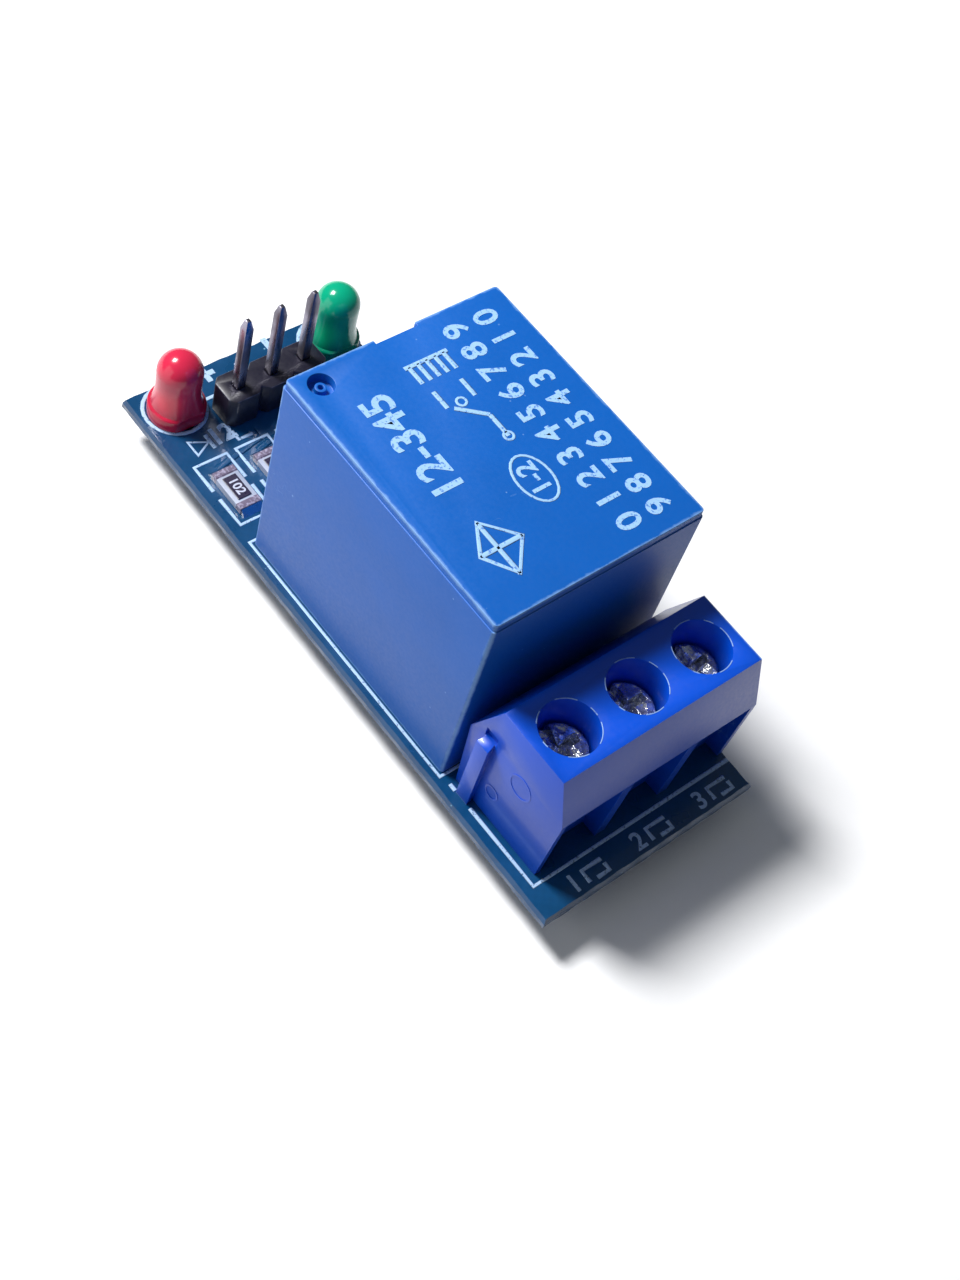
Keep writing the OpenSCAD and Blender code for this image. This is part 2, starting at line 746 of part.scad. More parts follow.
// Leaf riveted to the yoke's back and the armature's top, bent over the hinge
module relay_spring() color([0.82, 0.58, 0.36]) in_relay() {
    leg_z = rivets_z[0] - 2 * rivet_r;
    tip_x = contact_x + contact_r + spring_past;
    bend_x = yoke_x + bend_r;
    bend_z = spring_z - bend_r;
    difference() {
        across(spring_w) {
            translate([spring_x, leg_z]) square([spring_t, bend_z - leg_z]);
            translate([bend_x, spring_z]) square([tip_x - bend_x, spring_t]);
            translate([bend_x, bend_z]) intersection() {
                difference() {
                    circle(r = bend_r + spring_t);
                    circle(r = bend_r);
                }
                translate([-bend_r - spring_t, 0]) square(bend_r + spring_t);
            }
        }
        for (x = rivets_x) translate([x, 0, spring_z - past])
            cylinder(r = rivet_r + snug, h = spring_t + 2 * past);
        translate([contact_x, 0, spring_z - past])
            cylinder(r = contact_shank_r + snug, h = spring_t + 2 * past);
        for (z = rivets_z) translate([spring_x - past, 0, z]) rotate([0, 90, 0])
            cylinder(r = rivet_r + snug, h = spring_t + 2 * past);
    }
}

// Rivet with a contact face above and below the spring
module moving_contact() color([0.86, 0.86, 0.84]) in_relay() translate([contact_x, 0, spring_z]) {
    translate([0, 0, spring_t]) cylinder(r = contact_r, h = contact_up);
    cylinder(r = contact_shank_r, h = spring_t);
    translate([0, 0, -contact_t]) cylinder(r = contact_r, h = contact_t);
}

// Contact above or below a strip, with its shank through the strip
module strip_contact(z, h, shank_z, shank_h) color([0.86, 0.86, 0.84]) in_relay()
    translate([contact_x, 0, 0]) {
        translate([0, 0, z]) cylinder(r = contact_r, h = h);
        translate([0, 0, shank_z]) cylinder(r = contact_shank_r, h = shank_h);
    }

module open_contact()
    strip_contact(open_strip_z + blade_t, contact_t, open_strip_z, blade_t);

module closed_contact()
    strip_contact(closed_contact_z, closed_strip_z - closed_contact_z, closed_strip_z, closed_strip_t);

// Pin, upright blade on one side of the relay and strip that reaches the contact
module contact_terminal(side, strip_z, strip_t) color([0.80, 0.66, 0.36]) in_relay() {
    x0 = contact_x - contact_r;
    y = side * side_y;
    reach = side_y + contact_r + 0.1;
    translate([contact_pin_x, y, -lead_down]) post(pin_w, blade_t, lead_down + base_top);
    translate([x0, y - blade_t / 2, base_top])
        cube([contact_pin_x + pin_w / 2 - x0, blade_t, strip_z + strip_t - base_top]);
    difference() {
        translate([x0, side > 0 ? y - reach : y, strip_z]) cube([2 * contact_r, reach, strip_t]);
        translate([contact_x, 0, strip_z - past])
            cylinder(r = contact_shank_r + snug, h = strip_t + 2 * past);
    }
}

// ---- Screw terminal ----

// End view of the housing: widest part way up, leaning in above and below
module housing_side() {
    polygon([[back_tuck, 0], [0, back_knee], [back_lean, term_h], [term_d - front_lean, term_h],
        [term_d, front_knee], [term_d - front_tuck, 0]]);
}

// Plan of the joining rib, wider outside than at its root
module rib_plan(gap) {
    a = rib_root / 2 + gap;
    b = rib_w / 2 + gap;
    polygon([[-a, past], [-b, -rib_out - gap], [b, -rib_out - gap], [a, past]]);
}

// Rib with its top sloping down outwards
module joining_rib() intersection() {
    linear_extrude(height = rib_h) rib_plan(0);
    along(2 * rib_w) polygon([[-rib_out, 0], [past, 0], [past, rib_h], [0, rib_h],
        [-rib_out, rib_h - rib_slope]]);
}

// Chamber, well, wire hole and front recess of one way
module way_cuts() {
    translate([0, 0, -past]) post(cage_l + 2 * cage_gap, chamber_w, cage_top_z + past);
    cylinder(r = well_r, h = term_h + past);
    translate([0, -inner_w / 2, floor_z]) cube([term_d, inner_w, cage_top_z - cage_top - floor_z]);
    translate([recess_x - well_in, -(way_pitch - fin_t) / 2, -past])
        cube([term_d, way_pitch - fin_t, front_knee - lip_edge + past]);
}

module terminal_housing() color([0.00, 0.32, 0.86]) in_terminal() difference() {
    union() {
        across(term_w) housing_side();
        translate([rib_x, -term_w / 2, 0]) joining_rib();
    }
    for (n = [1:ways]) translate([well_in, way_y(n), 0]) way_cuts();
    translate([rib_x, term_w / 2, -past])
        linear_extrude(height = rib_h + 2 * past) rib_plan(rib_gap);
    translate([rib_x - rib_w / 2, -term_w / 2 - past, rib_h])
        cube([rib_w, pocket_deep + past, pocket_h]);
}

// Square tube open to the wire, with a threaded top and a solder pin
module clamp_cage(n) color([0.84, 0.80, 0.70]) at_way(n) {
    difference() {
        translate([0, 0, cage_up]) post(cage_l, cage_w, cage_top_z - cage_up);
        translate([0, 0, floor_z]) post(cage_l + 1, inner_w, cage_top_z - cage_top - floor_z);
        translate([0, 0, floor_z]) cylinder(r = shank_r + shank_gap, h = term_h);
    }
    translate([0, 0, -lead_down]) post(cage_pin_t, cage_pin_w, lead_down + cage_up);
}

// Plate that the screw presses on the wire, with a lip at its front
module wire_guard(n) color([0.75, 0.76, 0.78]) at_way(n) translate([0, 0, guard_z]) {
    post(guard_l, inner_w - 2 * guard_gap, guard_t);
    translate([guard_l / 2 - guard_t / 2, 0, guard_t]) post(guard_t, inner_w - 2 * guard_gap, guard_lip);
}

// Cross-slotted screw, its tip on the wire guard
module clamp_screw(n) color([0.82, 0.83, 0.85]) at_way(n) {
    chamfer = 0.2;
    translate([0, 0, head_z - shank_l]) cylinder(r = shank_r, h = shank_l);
    translate([0, 0, head_z]) difference() {
        union() {
            cylinder(r = head_r, h = head_h - chamfer);
            translate([0, 0, head_h - chamfer]) cylinder(r1 = head_r, r2 = head_r - chamfer, h = chamfer);
        }
        translate([0, 0, head_h - slot_deep]) {
            post(2 * head_r + 1, slot_w, slot_deep + past);
            post(slot_w, 1.5 * head_r, slot_deep + past);
        }
    }
}

// ---- Solder ----

module header_solder() color([0.78, 0.79, 0.80])
    for (n = [1:pins]) at_pin(n) solder_cone(pin_side, pin_side);

module lamp_solder() color([0.78, 0.79, 0.80])
    for (y = [red_y, green_y]) translate([lamp_x, y, 0]) at_lamp_leads() solder_cone(lamp_lead, lamp_lead);

module relay_solder() color([0.78, 0.79, 0.80]) translate([relay_x, relay_y, 0]) relay_leads(false);

module terminal_solder() color([0.78, 0.79, 0.80])
    for (n = [1:ways]) translate([term_x + well_in, term_y + way_y(n), 0])
        solder_cone(cage_pin_t, cage_pin_w);

// Fillets at both ends of something l long and w wide, h up its ends
module end_fillets(l, w, h) {
    for (turn = [0, 1]) mirror([turn, 0, 0]) translate([l / 2, 0, 0]) fillet(w, h);
}

module chip_solder() color([0.78, 0.79, 0.80]) {
    for (n = [1:3]) at_chip(n) end_fillets(chip_l, chip_w - 0.1, 0.8 * chip_h);
    at_chip(diode_slot) end_fillets(diode_l, diode_r, diode_r);
    at_chip(transistor_slot) at_transistor_leads()
        translate([trans_w / 2 + trans_step + trans_foot, 0, 0]) fillet(trans_lead_w, trans_lead_t);
}

circuit_board();
header_body();
header_pin(1);  // header_pin_1
header_pin(2);  // header_pin_2
header_pin(3);  // header_pin_3
color([0.80, 0.05, 0.15]) at_lamp(red_y) lens();  // red_lens
color([0.78, 0.79, 0.80]) at_lamp(red_y) anode();  // red_anode
color([0.78, 0.79, 0.80]) at_lamp(red_y) cathode();  // red_cathode
color([0.90, 0.75, 0.30]) at_lamp(red_y) lamp_chip();  // red_chip
color([0.00, 0.60, 0.35]) at_lamp(green_y) lens();  // green_lens
color([0.78, 0.79, 0.80]) at_lamp(green_y) anode();  // green_anode
color([0.78, 0.79, 0.80]) at_lamp(green_y) cathode();  // green_cathode
color([0.90, 0.75, 0.30]) at_lamp(green_y) lamp_chip();  // green_chip
resistor(1);  // resistor_1
resistor(2);  // resistor_2
resistor(3);  // resistor_3
transistor_body();
transistor_leads();
diode_glass();
diode_caps();
relay_cover();
relay_base();
relay_bobbin();
relay_winding();
relay_core();
relay_yoke();
relay_armature();
relay_spring();
moving_contact();
open_contact();
closed_contact();
contact_terminal(-1, open_strip_z, blade_t);  // open_terminal
contact_terminal(1, closed_strip_z, closed_strip_t);  // closed_terminal
common_terminal();
coil_pin_at(-side_y);  // coil_pin_1
coil_pin_at(side_y);  // coil_pin_2
terminal_housing();
clamp_cage(1);  // clamp_cage_1
clamp_cage(2);  // clamp_cage_2
clamp_cage(3);  // clamp_cage_3
wire_guard(1);  // wire_guard_1
wire_guard(2);  // wire_guard_2
wire_guard(3);  // wire_guard_3
clamp_screw(1);  // clamp_screw_1
clamp_screw(2);  // clamp_screw_2
clamp_screw(3);  // clamp_screw_3
header_solder();
lamp_solder();
relay_solder();
terminal_solder();
chip_solder();
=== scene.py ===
import logging
import math
from dataclasses import dataclass, replace
from enum import Enum
from typing import Callable, Iterable, Optional, Sequence

import bpy
from mathutils import Matrix, Vector


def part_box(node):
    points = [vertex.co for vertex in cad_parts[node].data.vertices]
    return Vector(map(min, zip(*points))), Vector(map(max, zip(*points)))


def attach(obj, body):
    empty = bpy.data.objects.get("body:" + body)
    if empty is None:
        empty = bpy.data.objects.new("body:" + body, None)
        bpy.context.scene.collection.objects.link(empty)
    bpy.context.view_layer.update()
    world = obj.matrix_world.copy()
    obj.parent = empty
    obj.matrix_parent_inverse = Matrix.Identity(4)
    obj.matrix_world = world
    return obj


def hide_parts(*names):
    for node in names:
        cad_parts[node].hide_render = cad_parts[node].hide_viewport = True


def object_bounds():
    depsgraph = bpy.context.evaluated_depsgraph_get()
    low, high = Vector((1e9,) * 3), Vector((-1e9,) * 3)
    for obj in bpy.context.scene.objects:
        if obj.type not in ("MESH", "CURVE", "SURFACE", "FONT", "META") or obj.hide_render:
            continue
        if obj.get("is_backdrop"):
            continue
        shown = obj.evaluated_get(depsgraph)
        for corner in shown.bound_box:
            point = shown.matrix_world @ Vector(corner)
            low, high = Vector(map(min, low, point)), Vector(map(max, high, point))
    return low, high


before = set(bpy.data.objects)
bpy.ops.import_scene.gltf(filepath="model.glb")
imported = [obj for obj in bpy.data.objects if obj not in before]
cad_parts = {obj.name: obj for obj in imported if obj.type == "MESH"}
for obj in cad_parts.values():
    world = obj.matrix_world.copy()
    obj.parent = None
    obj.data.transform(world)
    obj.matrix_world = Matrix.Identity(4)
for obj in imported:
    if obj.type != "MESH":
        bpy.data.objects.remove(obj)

MM = 0.001
LOG = logging.getLogger("relay_module")

Point = tuple[float, float]
Triple = tuple[float, float, float]


def srgb(red: int, green: int, blue: int) -> tuple[float, float, float, float]:
    """A colour as a screen shows it, made linear for a shader.

    Args:
        red: Red from 0 to 255.
        green: Green from 0 to 255.
        blue: Blue from 0 to 255.

    Returns:
        The linear colour with an alpha of 1.
    """
    def linear(part: int) -> float:
        """One channel made linear."""
        share = part / 255
        return share / 12.92 if share <= 0.04045 else ((share + 0.055) / 1.055) ** 2.4
    return linear(red), linear(green), linear(blue), 1.0


class Axis(Enum):
    """The direction that a round piece stands along."""

    Y = (math.pi / 2, 0.0, 0.0)
    Z = (0.0, 0.0, 0.0)


class Bench:
    """Modelling operators. Each leaves its piece at the origin, with its place in its mesh."""

    @staticmethod
    def clear() -> None:
        """Deselects everything."""
        bpy.ops.object.select_all(action="DESELECT")

    @staticmethod
    def pick(*pieces: bpy.types.Object) -> bpy.types.Object:
        """Selects only these pieces and makes the first one active."""
        Bench.clear()
        for piece in pieces:
            piece.select_set(True)
        bpy.context.view_layer.objects.active = pieces[0]
        return pieces[0]

    @staticmethod
    def settle(piece: bpy.types.Object, name: str) -> bpy.types.Object:
        """Names a piece and puts its place, turn and scale into its mesh."""
        Bench.pick(piece)
        bpy.ops.object.transform_apply(location=True, rotation=True, scale=True)
        piece.name = name
        piece.data.name = name
        return piece

    @staticmethod
    def block(name: str, low: Sequence[float], high: Sequence[float]) -> bpy.types.Object:
        """A box between two corners.

        Args:
            name: The piece's name.
            low: Its lowest corner, in metres.
            high: Its highest corner, in metres.

        Returns:
            The new piece.
        """
        Bench.clear()
        middle = [(a + b) / 2 for a, b in zip(low, high)]
        bpy.ops.mesh.primitive_cube_add(size=1, location=middle)
        piece = bpy.context.active_object
        piece.scale = [b - a for a, b in zip(low, high)]
        return Bench.settle(piece, name)

    @staticmethod
    def drum(name: str, centre: Sequence[float], radius: float, height: float,
             axis: Axis = Axis.Z, sides: int = 48) -> bpy.types.Object:
        """A cylinder round its centre.

        Args:
            name: The piece's name.
            centre: Its middle, in metres.
            radius: Its radius, in metres.
            height: Its length along the axis, in metres.
            axis: The direction it stands along.
            sides: How many sides its circle has.

        Returns:
            The new piece.
        """
        Bench.clear()
        bpy.ops.mesh.primitive_cylinder_add(vertices=sides, radius=radius, depth=height,
                                            location=centre, rotation=axis.value)
        return Bench.settle(bpy.context.active_object, name)

    @staticmethod
    def finish_modifier(piece: bpy.types.Object, kind: str, **settings: object) -> None:
        """Adds a modifier with these settings and applies it."""
        Bench.pick(piece)
        modifier = piece.modifiers.new(kind.lower(), kind)
        for key, value in settings.items():
            setattr(modifier, key, value)
        bpy.ops.object.modifier_apply(modifier=modifier.name)

    @staticmethod
    def bevel(piece: bpy.types.Object, width: float, segments: int = 2, angle: float = 30) -> None:
        """Rounds the edges sharper than an angle.

        Args:
            piece: The piece to round.
            width: The width of the rounding, in metres.
            segments: How many steps it has.
            angle: The least angle that counts as an edge, in degrees.
        """
        Bench.finish_modifier(piece, "BEVEL", width=width, segments=segments, limit_method="ANGLE",
                              angle_limit=math.radians(angle), harden_normals=False,
                              use_clamp_overlap=True)

    @staticmethod
    def smooth(piece: bpy.types.Object, angle: float = 35) -> None:
        """Shades a piece smooth except at edges sharper than an angle in degrees."""
        Bench.pick(piece)
        bpy.ops.object.shade_smooth_by_angle(angle=math.radians(angle))

    @staticmethod
    def join(name: str, pieces: Sequence[bpy.types.Object]) -> bpy.types.Object:
        """Joins pieces into one and names it."""
        Bench.pick(*pieces)
        if len(pieces) > 1:
            bpy.ops.object.join()
        piece = bpy.context.active_object
        piece.name = name
        piece.data.name = name
        return piece

    @staticmethod
    def cut(piece: bpy.types.Object, tool: bpy.types.Object) -> None:
        """Cuts one piece out of another and removes the tool."""
        Bench.finish_modifier(piece, "BOOLEAN", operation="DIFFERENCE", solver="EXACT", object=tool)
        bpy.data.objects.remove(tool)

    @staticmethod
    def from_node(node: str, name: str) -> bpy.types.Object:
        """A merged copy of a CAD node's mesh, to be given rounded edges.

        Args:
            node: The CAD node's name.
            name: The new piece's name.

        Returns:
            The new piece, with flat faces whole again.
        """
        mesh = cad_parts[node].data.copy()
        mesh.materials.clear()
        piece = bpy.data.objects.new(name, mesh)
        bpy.context.scene.collection.objects.link(piece)
        Bench.pick(piece)
        bpy.ops.mesh.customdata_custom_splitnormals_clear()
        bpy.ops.object.mode_set(mode="EDIT")
        bpy.ops.mesh.select_all(action="SELECT")
        bpy.ops.mesh.remove_doubles(threshold=0.0005 * MM)
        bpy.ops.mesh.dissolve_limited(angle_limit=math.radians(0.4))
        bpy.ops.mesh.normals_make_consistent(inside=False)
        bpy.ops.object.mode_set(mode="OBJECT")
        mesh.name = name
        return piece

    @staticmethod
    def slice(piece: bpy.types.Object, along: int, places: Iterable[float],
              inside: Optional[Callable[[Vector], bool]] = None) -> None:
        """Cuts rings of new edges across a piece without opening it.

        Args:
            piece: The piece to cut.
            along: The axis that the cuts are square to, 0, 1 or 2.
            places: Where the cuts go on that axis, in metres.
            inside: A test of a face's middle that says whether the face is cut.
        """
        normal = [0.0, 0.0, 0.0]
        normal[along] = 1.0
        Bench.pick(piece)
        for place in places:
            for face in piece.data.polygons:
                face.select = inside is None or inside(face.center)
            point = [0.0, 0.0, 0.0]
            point[along] = place
            bpy.ops.object.mode_set(mode="EDIT")
            bpy.ops.mesh.select_mode(type="FACE")
            bpy.ops.mesh.bisect(plane_co=point, plane_no=normal)
            bpy.ops.object.mode_set(mode="OBJECT")

    @staticmethod
    def lines(name: str, strokes: Iterable[Sequence[Point]], width: float, top: float,
              raised: float = 0.02 * MM) -> bpy.types.Object:
        """Flat printed lines, swept along strokes and pressed thin.

        Args:
            name: The piece's name.
            strokes: Each line's points in x and y, in metres. A closed line repeats its first point.
            width: The width of the lines, in metres.
            top: The height of the printed face, in metres.
            raised: How far the ink stands above that face, in metres.

        Returns:
            The new piece.
        """
        curve = bpy.data.curves.new(name, "CURVE")
        curve.dimensions = "3D"
        curve.bevel_depth = width / 2
        curve.bevel_resolution = 1
        curve.use_fill_caps = True
        for stroke in strokes:
            closed = len(stroke) > 2 and stroke[0] == stroke[-1]
            points = stroke[:-1] if closed else stroke
            spline = curve.splines.new("POLY")
            spline.points.add(len(points) - 1)
            spline.use_cyclic_u = closed
            for knot, (x, y) in zip(spline.points, points):
                knot.co = (x, y, 0, 1)
        piece = bpy.data.objects.new(name, curve)
        bpy.context.scene.collection.objects.link(piece)
        Bench.pick(piece)
        bpy.ops.object.convert(target="MESH")
        piece = bpy.context.active_object
        piece.scale.z = 2 * raised / width
        piece.location.z = top
        return Bench.settle(piece, name)

    @staticmethod
    def numeral(name: str, text: str, centre: Point, height: float, top: float,
                turn: float = 0.0, raised: float = 0.02 * MM, bold: float = 0.03) -> bpy.types.Object:
        """A printed number.

        Args:
            name: The piece's name.
            text: The figures or signs.
            centre: Its middle in x and y, in metres.
            height: The size of the type, in metres.
            top: The height of the printed face, in metres.
            turn: Its turn about Z, in degrees.
            raised: How far the ink stands above that face, in metres.
            bold: How much fatter the strokes are, as a share of the size.

        Returns:
            The new piece.
        """
        Bench.clear()
        bpy.ops.object.text_add(location=(centre[0], centre[1], top),
                                rotation=(0, 0, math.radians(turn)))
        text_object = bpy.context.active_object
        text_object.data.body = text
        text_object.data.align_x = "CENTER"
        text_object.data.align_y = "CENTER"
        text_object.data.size = height * 1.4
        text_object.data.extrude = raised
        text_object.data.offset = height * bold
        text_object.data.resolution_u = 4
        bpy.ops.object.convert(target="MESH")
        return Bench.settle(bpy.context.active_object, name)


def arc(x: float, y: float, radius: float, start: float = 0, end: float = 360,
        steps: int = 24, squash: float = 1.0) -> list[Point]:
    """Points on a circle or a part of one.

    Args:
        x: The centre's x.
        y: The centre's y.
        radius: The radius.
        start: The angle of the first point, in degrees.
        end: The angle of the last point, in degrees.
        steps: How many straight pieces stand for the arc.
        squash: The height of an ellipse over its width.

    Returns:
        The points, the first repeated at the end of a whole circle.
    """
    turns = [math.radians(start + (end - start) * n / steps) for n in range(steps + 1)]
    points = [(x + radius * math.cos(t), y + squash * radius * math.sin(t)) for t in turns]
    if abs(end - start) >= 360:
        points[-1] = points[0]
    return points


class Tree:
    """A node tree with short calls that add nodes and join them."""

    def __init__(self, tree: bpy.types.NodeTree) -> None:
        """Keeps the tree to work on."""
        self.tree = tree

    def add(self, kind: str, **settings: object) -> bpy.types.Node:
        """Adds a node and sets its properties."""
        node = self.tree.nodes.new(kind)
        for key, value in settings.items():
            setattr(node, key, value)
        return node

    def feed(self, socket: bpy.types.NodeSocket, value: object) -> None:
        """Links a socket to an input, or sets the input to a plain value."""
        if isinstance(value, bpy.types.NodeSocket):
            self.tree.links.new(value, socket)
        elif value is not None:
            socket.default_value = value

    def math(self, operation: str, *values: object, clamp: bool = False) -> bpy.types.NodeSocket:
        """The result of a Math node."""
        node = self.add("ShaderNodeMath", operation=operation, use_clamp=clamp)
        for socket, value in zip(node.inputs, values):
            self.feed(socket, value)
        return node.outputs[0]

    def vector(self, operation: str, *values: object) -> bpy.types.NodeSocket:
        """The vector result of a Vector Math node."""
        node = self.add("ShaderNodeVectorMath", operation=operation)
        for socket, value in zip(node.inputs, values):
            if socket.enabled:
                self.feed(socket, value)
        return node.outputs["Value" if operation == "LENGTH" else "Vector"]

    def split(self, vector: bpy.types.NodeSocket) -> bpy.types.NodeOutputs:
        """The X, Y and Z of a vector."""
        node = self.add("ShaderNodeSeparateXYZ")
        self.feed(node.inputs[0], vector)
        return node.outputs

    def mix(self, factor: object, first: object, second: object) -> bpy.types.NodeSocket:
        """Two colours mixed by a factor."""
        node = self.add("ShaderNodeMix", data_type="RGBA")
        self.feed(node.inputs["Factor"], factor)
        self.feed(node.inputs[6], first)
        self.feed(node.inputs[7], second)
        return node.outputs[2]

    def span(self, value: object, low: float, high: float, start: float = 0.0,
             end: float = 1.0) -> bpy.types.NodeSocket:
        """A value's smooth change from start to end as it goes from low to high."""
        node = self.add("ShaderNodeMapRange", interpolation_type="SMOOTHSTEP")
        for socket, part in zip(node.inputs, (value, low, high, start, end)):
            self.feed(socket, part)
        return node.outputs[0]

    def noise(self, vector: object, scale: object, detail: float = 3.0,
              roughness: float = 0.55) -> bpy.types.NodeSocket:
        """Soft noise from 0 to 1."""
        node = self.add("ShaderNodeTexNoise")
        self.feed(node.inputs["Vector"], vector)
        self.feed(node.inputs["Scale"], scale)
        self.feed(node.inputs["Detail"], detail)
        self.feed(node.inputs["Roughness"], roughness)
        return node.outputs["Fac"]

    def noise_colour(self, vector: object, scale: object) -> bpy.types.NodeSocket:
        """Soft noise that differs in each channel."""
        node = self.add("ShaderNodeTexNoise")
        self.feed(node.inputs["Vector"], vector)
        self.feed(node.inputs["Scale"], scale)
        return node.outputs["Color"]

    def cells(self, vector: object, scale: object) -> bpy.types.NodeSocket:
        """The distance to the nearest point of a scatter."""
        node = self.add("ShaderNodeTexVoronoi")
        self.feed(node.inputs["Vector"], vector)
        self.feed(node.inputs["Scale"], scale)
        return node.outputs["Distance"]

    def bump(self, height: object, depth: float, strength: float = 1.0,
             normal: object = None) -> bpy.types.NodeSocket:
        """A normal bent by a height, whose full step is depth metres."""
        node = self.add("ShaderNodeBump")
        self.feed(node.inputs["Strength"], strength)
        self.feed(node.inputs["Distance"], depth)
        self.feed(node.inputs["Height"], height)
        self.feed(node.inputs["Normal"], normal)
        return node.outputs[0]

    def stretched(self, vector: object, scale: Triple) -> bpy.types.NodeSocket:
        """Coordinates stretched by a Mapping node."""
        node = self.add("ShaderNodeMapping")
        self.feed(node.inputs["Vector"], vector)
        node.inputs["Scale"].default_value = scale
        return node.outputs[0]

    def use(self, group: bpy.types.NodeTree, **inputs: object) -> bpy.types.NodeOutputs:
        """Places a shared group, with underscores in names standing for spaces."""
        node = self.add("ShaderNodeGroup", node_tree=group)
        for name, value in inputs.items():
            self.feed(node.inputs[name.replace("_", " ")], value)
        return node.outputs


class Effects:
    """The shared node groups, each built once. They put out masks and heights only."""

    def __init__(self) -> None:
        """Builds every group."""
        self.edge = self._edge()
        self.wear = self._wear()
        self.grain = self._grain()
        self.dust = self._dust()
        self.scratch = self._scratch()

    @staticmethod
    def _start(name: str, inputs: Sequence[tuple[str, str, object]],
               outputs: Sequence[str]) -> tuple[Tree, bpy.types.Node, bpy.types.Node]:
        """An empty group with its sockets.

        Args:
            name: The group's name.
            inputs: Each input's name, kind and default.
            outputs: The names of the outputs, which are all numbers.

        Returns:
            The tree, its input node and its output node.
        """
        group = bpy.data.node_groups.new(name, "ShaderNodeTree")
        for label, kind, value in inputs:
            socket = group.interface.new_socket(label, in_out="INPUT", socket_type="NodeSocket" + kind)
            if value is not None:
                socket.default_value = value
        for label in outputs:
            group.interface.new_socket(label, in_out="OUTPUT", socket_type="NodeSocketFloat")
        tree = Tree(group)
        return tree, tree.add("NodeGroupInput"), tree.add("NodeGroupOutput")

    def _edge(self) -> bpy.types.NodeTree:
        """How far a point on a box is from the box's nearest edge, in metres."""
        tree, enter, leave = self._start(
            "box_edge", [("Vector", "Vector", None), ("Centre", "Vector", None), ("Half", "Vector", None)],
            ["Distance"])
        inset = tree.vector("SUBTRACT", enter.outputs["Half"],
                            tree.vector("ABSOLUTE", tree.vector("SUBTRACT", enter.outputs["Vector"],
                                                                enter.outputs["Centre"])))
        x, y, z = tree.split(inset)
        low = tree.math("MINIMUM", x, y)
        high = tree.math("MAXIMUM", x, y)
        second = tree.math("MAXIMUM", low, tree.math("MINIMUM", high, z))
        tree.feed(leave.inputs[0], tree.math("MAXIMUM", second, 0.0))
        return tree.tree

    def _wear(self) -> bpy.types.NodeTree:
        """Rubbed and highlit places along edges, strongest at distance 0 and broken up by noise."""
        tree, enter, leave = self._start(
            "edge_wear_and_highlight",
            [("Vector", "Vector", None), ("Distance", "Float", 0.0), ("Width", "Float", 0.0002),
             ("Scale", "Float", 900.0), ("Amount", "Float", 0.5)], ["Mask"])
        broken = tree.noise(enter.outputs["Vector"], enter.outputs["Scale"], 4.0, 0.65)
        reach = tree.math("MULTIPLY", enter.outputs["Width"], tree.math("MULTIPLY", broken, 2.0))
        near = tree.math("SUBTRACT", 1.0, tree.math("DIVIDE", enter.outputs["Distance"], reach), clamp=True)
        limit = tree.math("SUBTRACT", 1.0, enter.outputs["Amount"])
        over = tree.math("SUBTRACT", tree.math("ADD", broken, 0.22), limit)
        kept = tree.math("MULTIPLY", over, 6.0, clamp=True)
        tree.feed(leave.inputs[0], tree.math("MULTIPLY", near, kept))
        return tree.tree

    def _grain(self) -> bpy.types.NodeTree:
        """Fine and broad unevenness of a moulded or plated face."""
        tree, enter, leave = self._start(
            "grain", [("Vector", "Vector", None), ("Scale", "Float", 3000.0)], ["Fine", "Broad"])
        tree.feed(leave.inputs[0], tree.noise(enter.outputs["Vector"], enter.outputs["Scale"], 4.0, 0.6))
        broad = tree.math("DIVIDE", enter.outputs["Scale"], 14.0)
        tree.feed(leave.inputs[1], tree.noise(enter.outputs["Vector"], broad, 2.0, 0.5))
        return tree.tree

    def _dust(self) -> bpy.types.NodeTree:
        """Scattered specks."""
        tree, enter, leave = self._start(
            "dust", [("Vector", "Vector", None), ("Scale", "Float", 700.0), ("Size", "Float", 0.06)],
            ["Mask"])
        broad = tree.math("MULTIPLY", enter.outputs["Scale"], 0.4)
        spread = tree.noise(enter.outputs["Vector"], broad, 2.0)
        size = tree.math("MULTIPLY", enter.outputs["Size"], tree.math("MULTIPLY", spread, 2.0))
        spot = tree.math("SUBTRACT", size, tree.cells(enter.outputs["Vector"], enter.outputs["Scale"]))
        tree.feed(leave.inputs[0], tree.math("MULTIPLY", spot, 30.0, clamp=True))
        return tree.tree

    def _scratch(self) -> bpy.types.NodeTree:
        """Short fine scratches along stretched coordinates."""
        tree, enter, leave = self._start(
            "scratch", [("Vector", "Vector", None), ("Scale", "Float", 500.0), ("Amount", "Float", 0.2)],
            ["Mask"])
        line = tree.noise(enter.outputs["Vector"], enter.outputs["Scale"], 1.0)
        thin = tree.math("ABSOLUTE", tree.math("SUBTRACT", line, 0.5))
        patch = tree.noise(enter.outputs["Vector"], tree.math("DIVIDE", enter.outputs["Scale"], 7.0), 1.0)
        over = tree.math("SUBTRACT", tree.math("ADD", patch, enter.outputs["Amount"]), 0.7)
        inside = tree.math("SUBTRACT", tree.math("MULTIPLY", over, 0.05), thin)
        tree.feed(leave.inputs[0], tree.math("MULTIPLY", inside, 120.0, clamp=True))
        return tree.tree


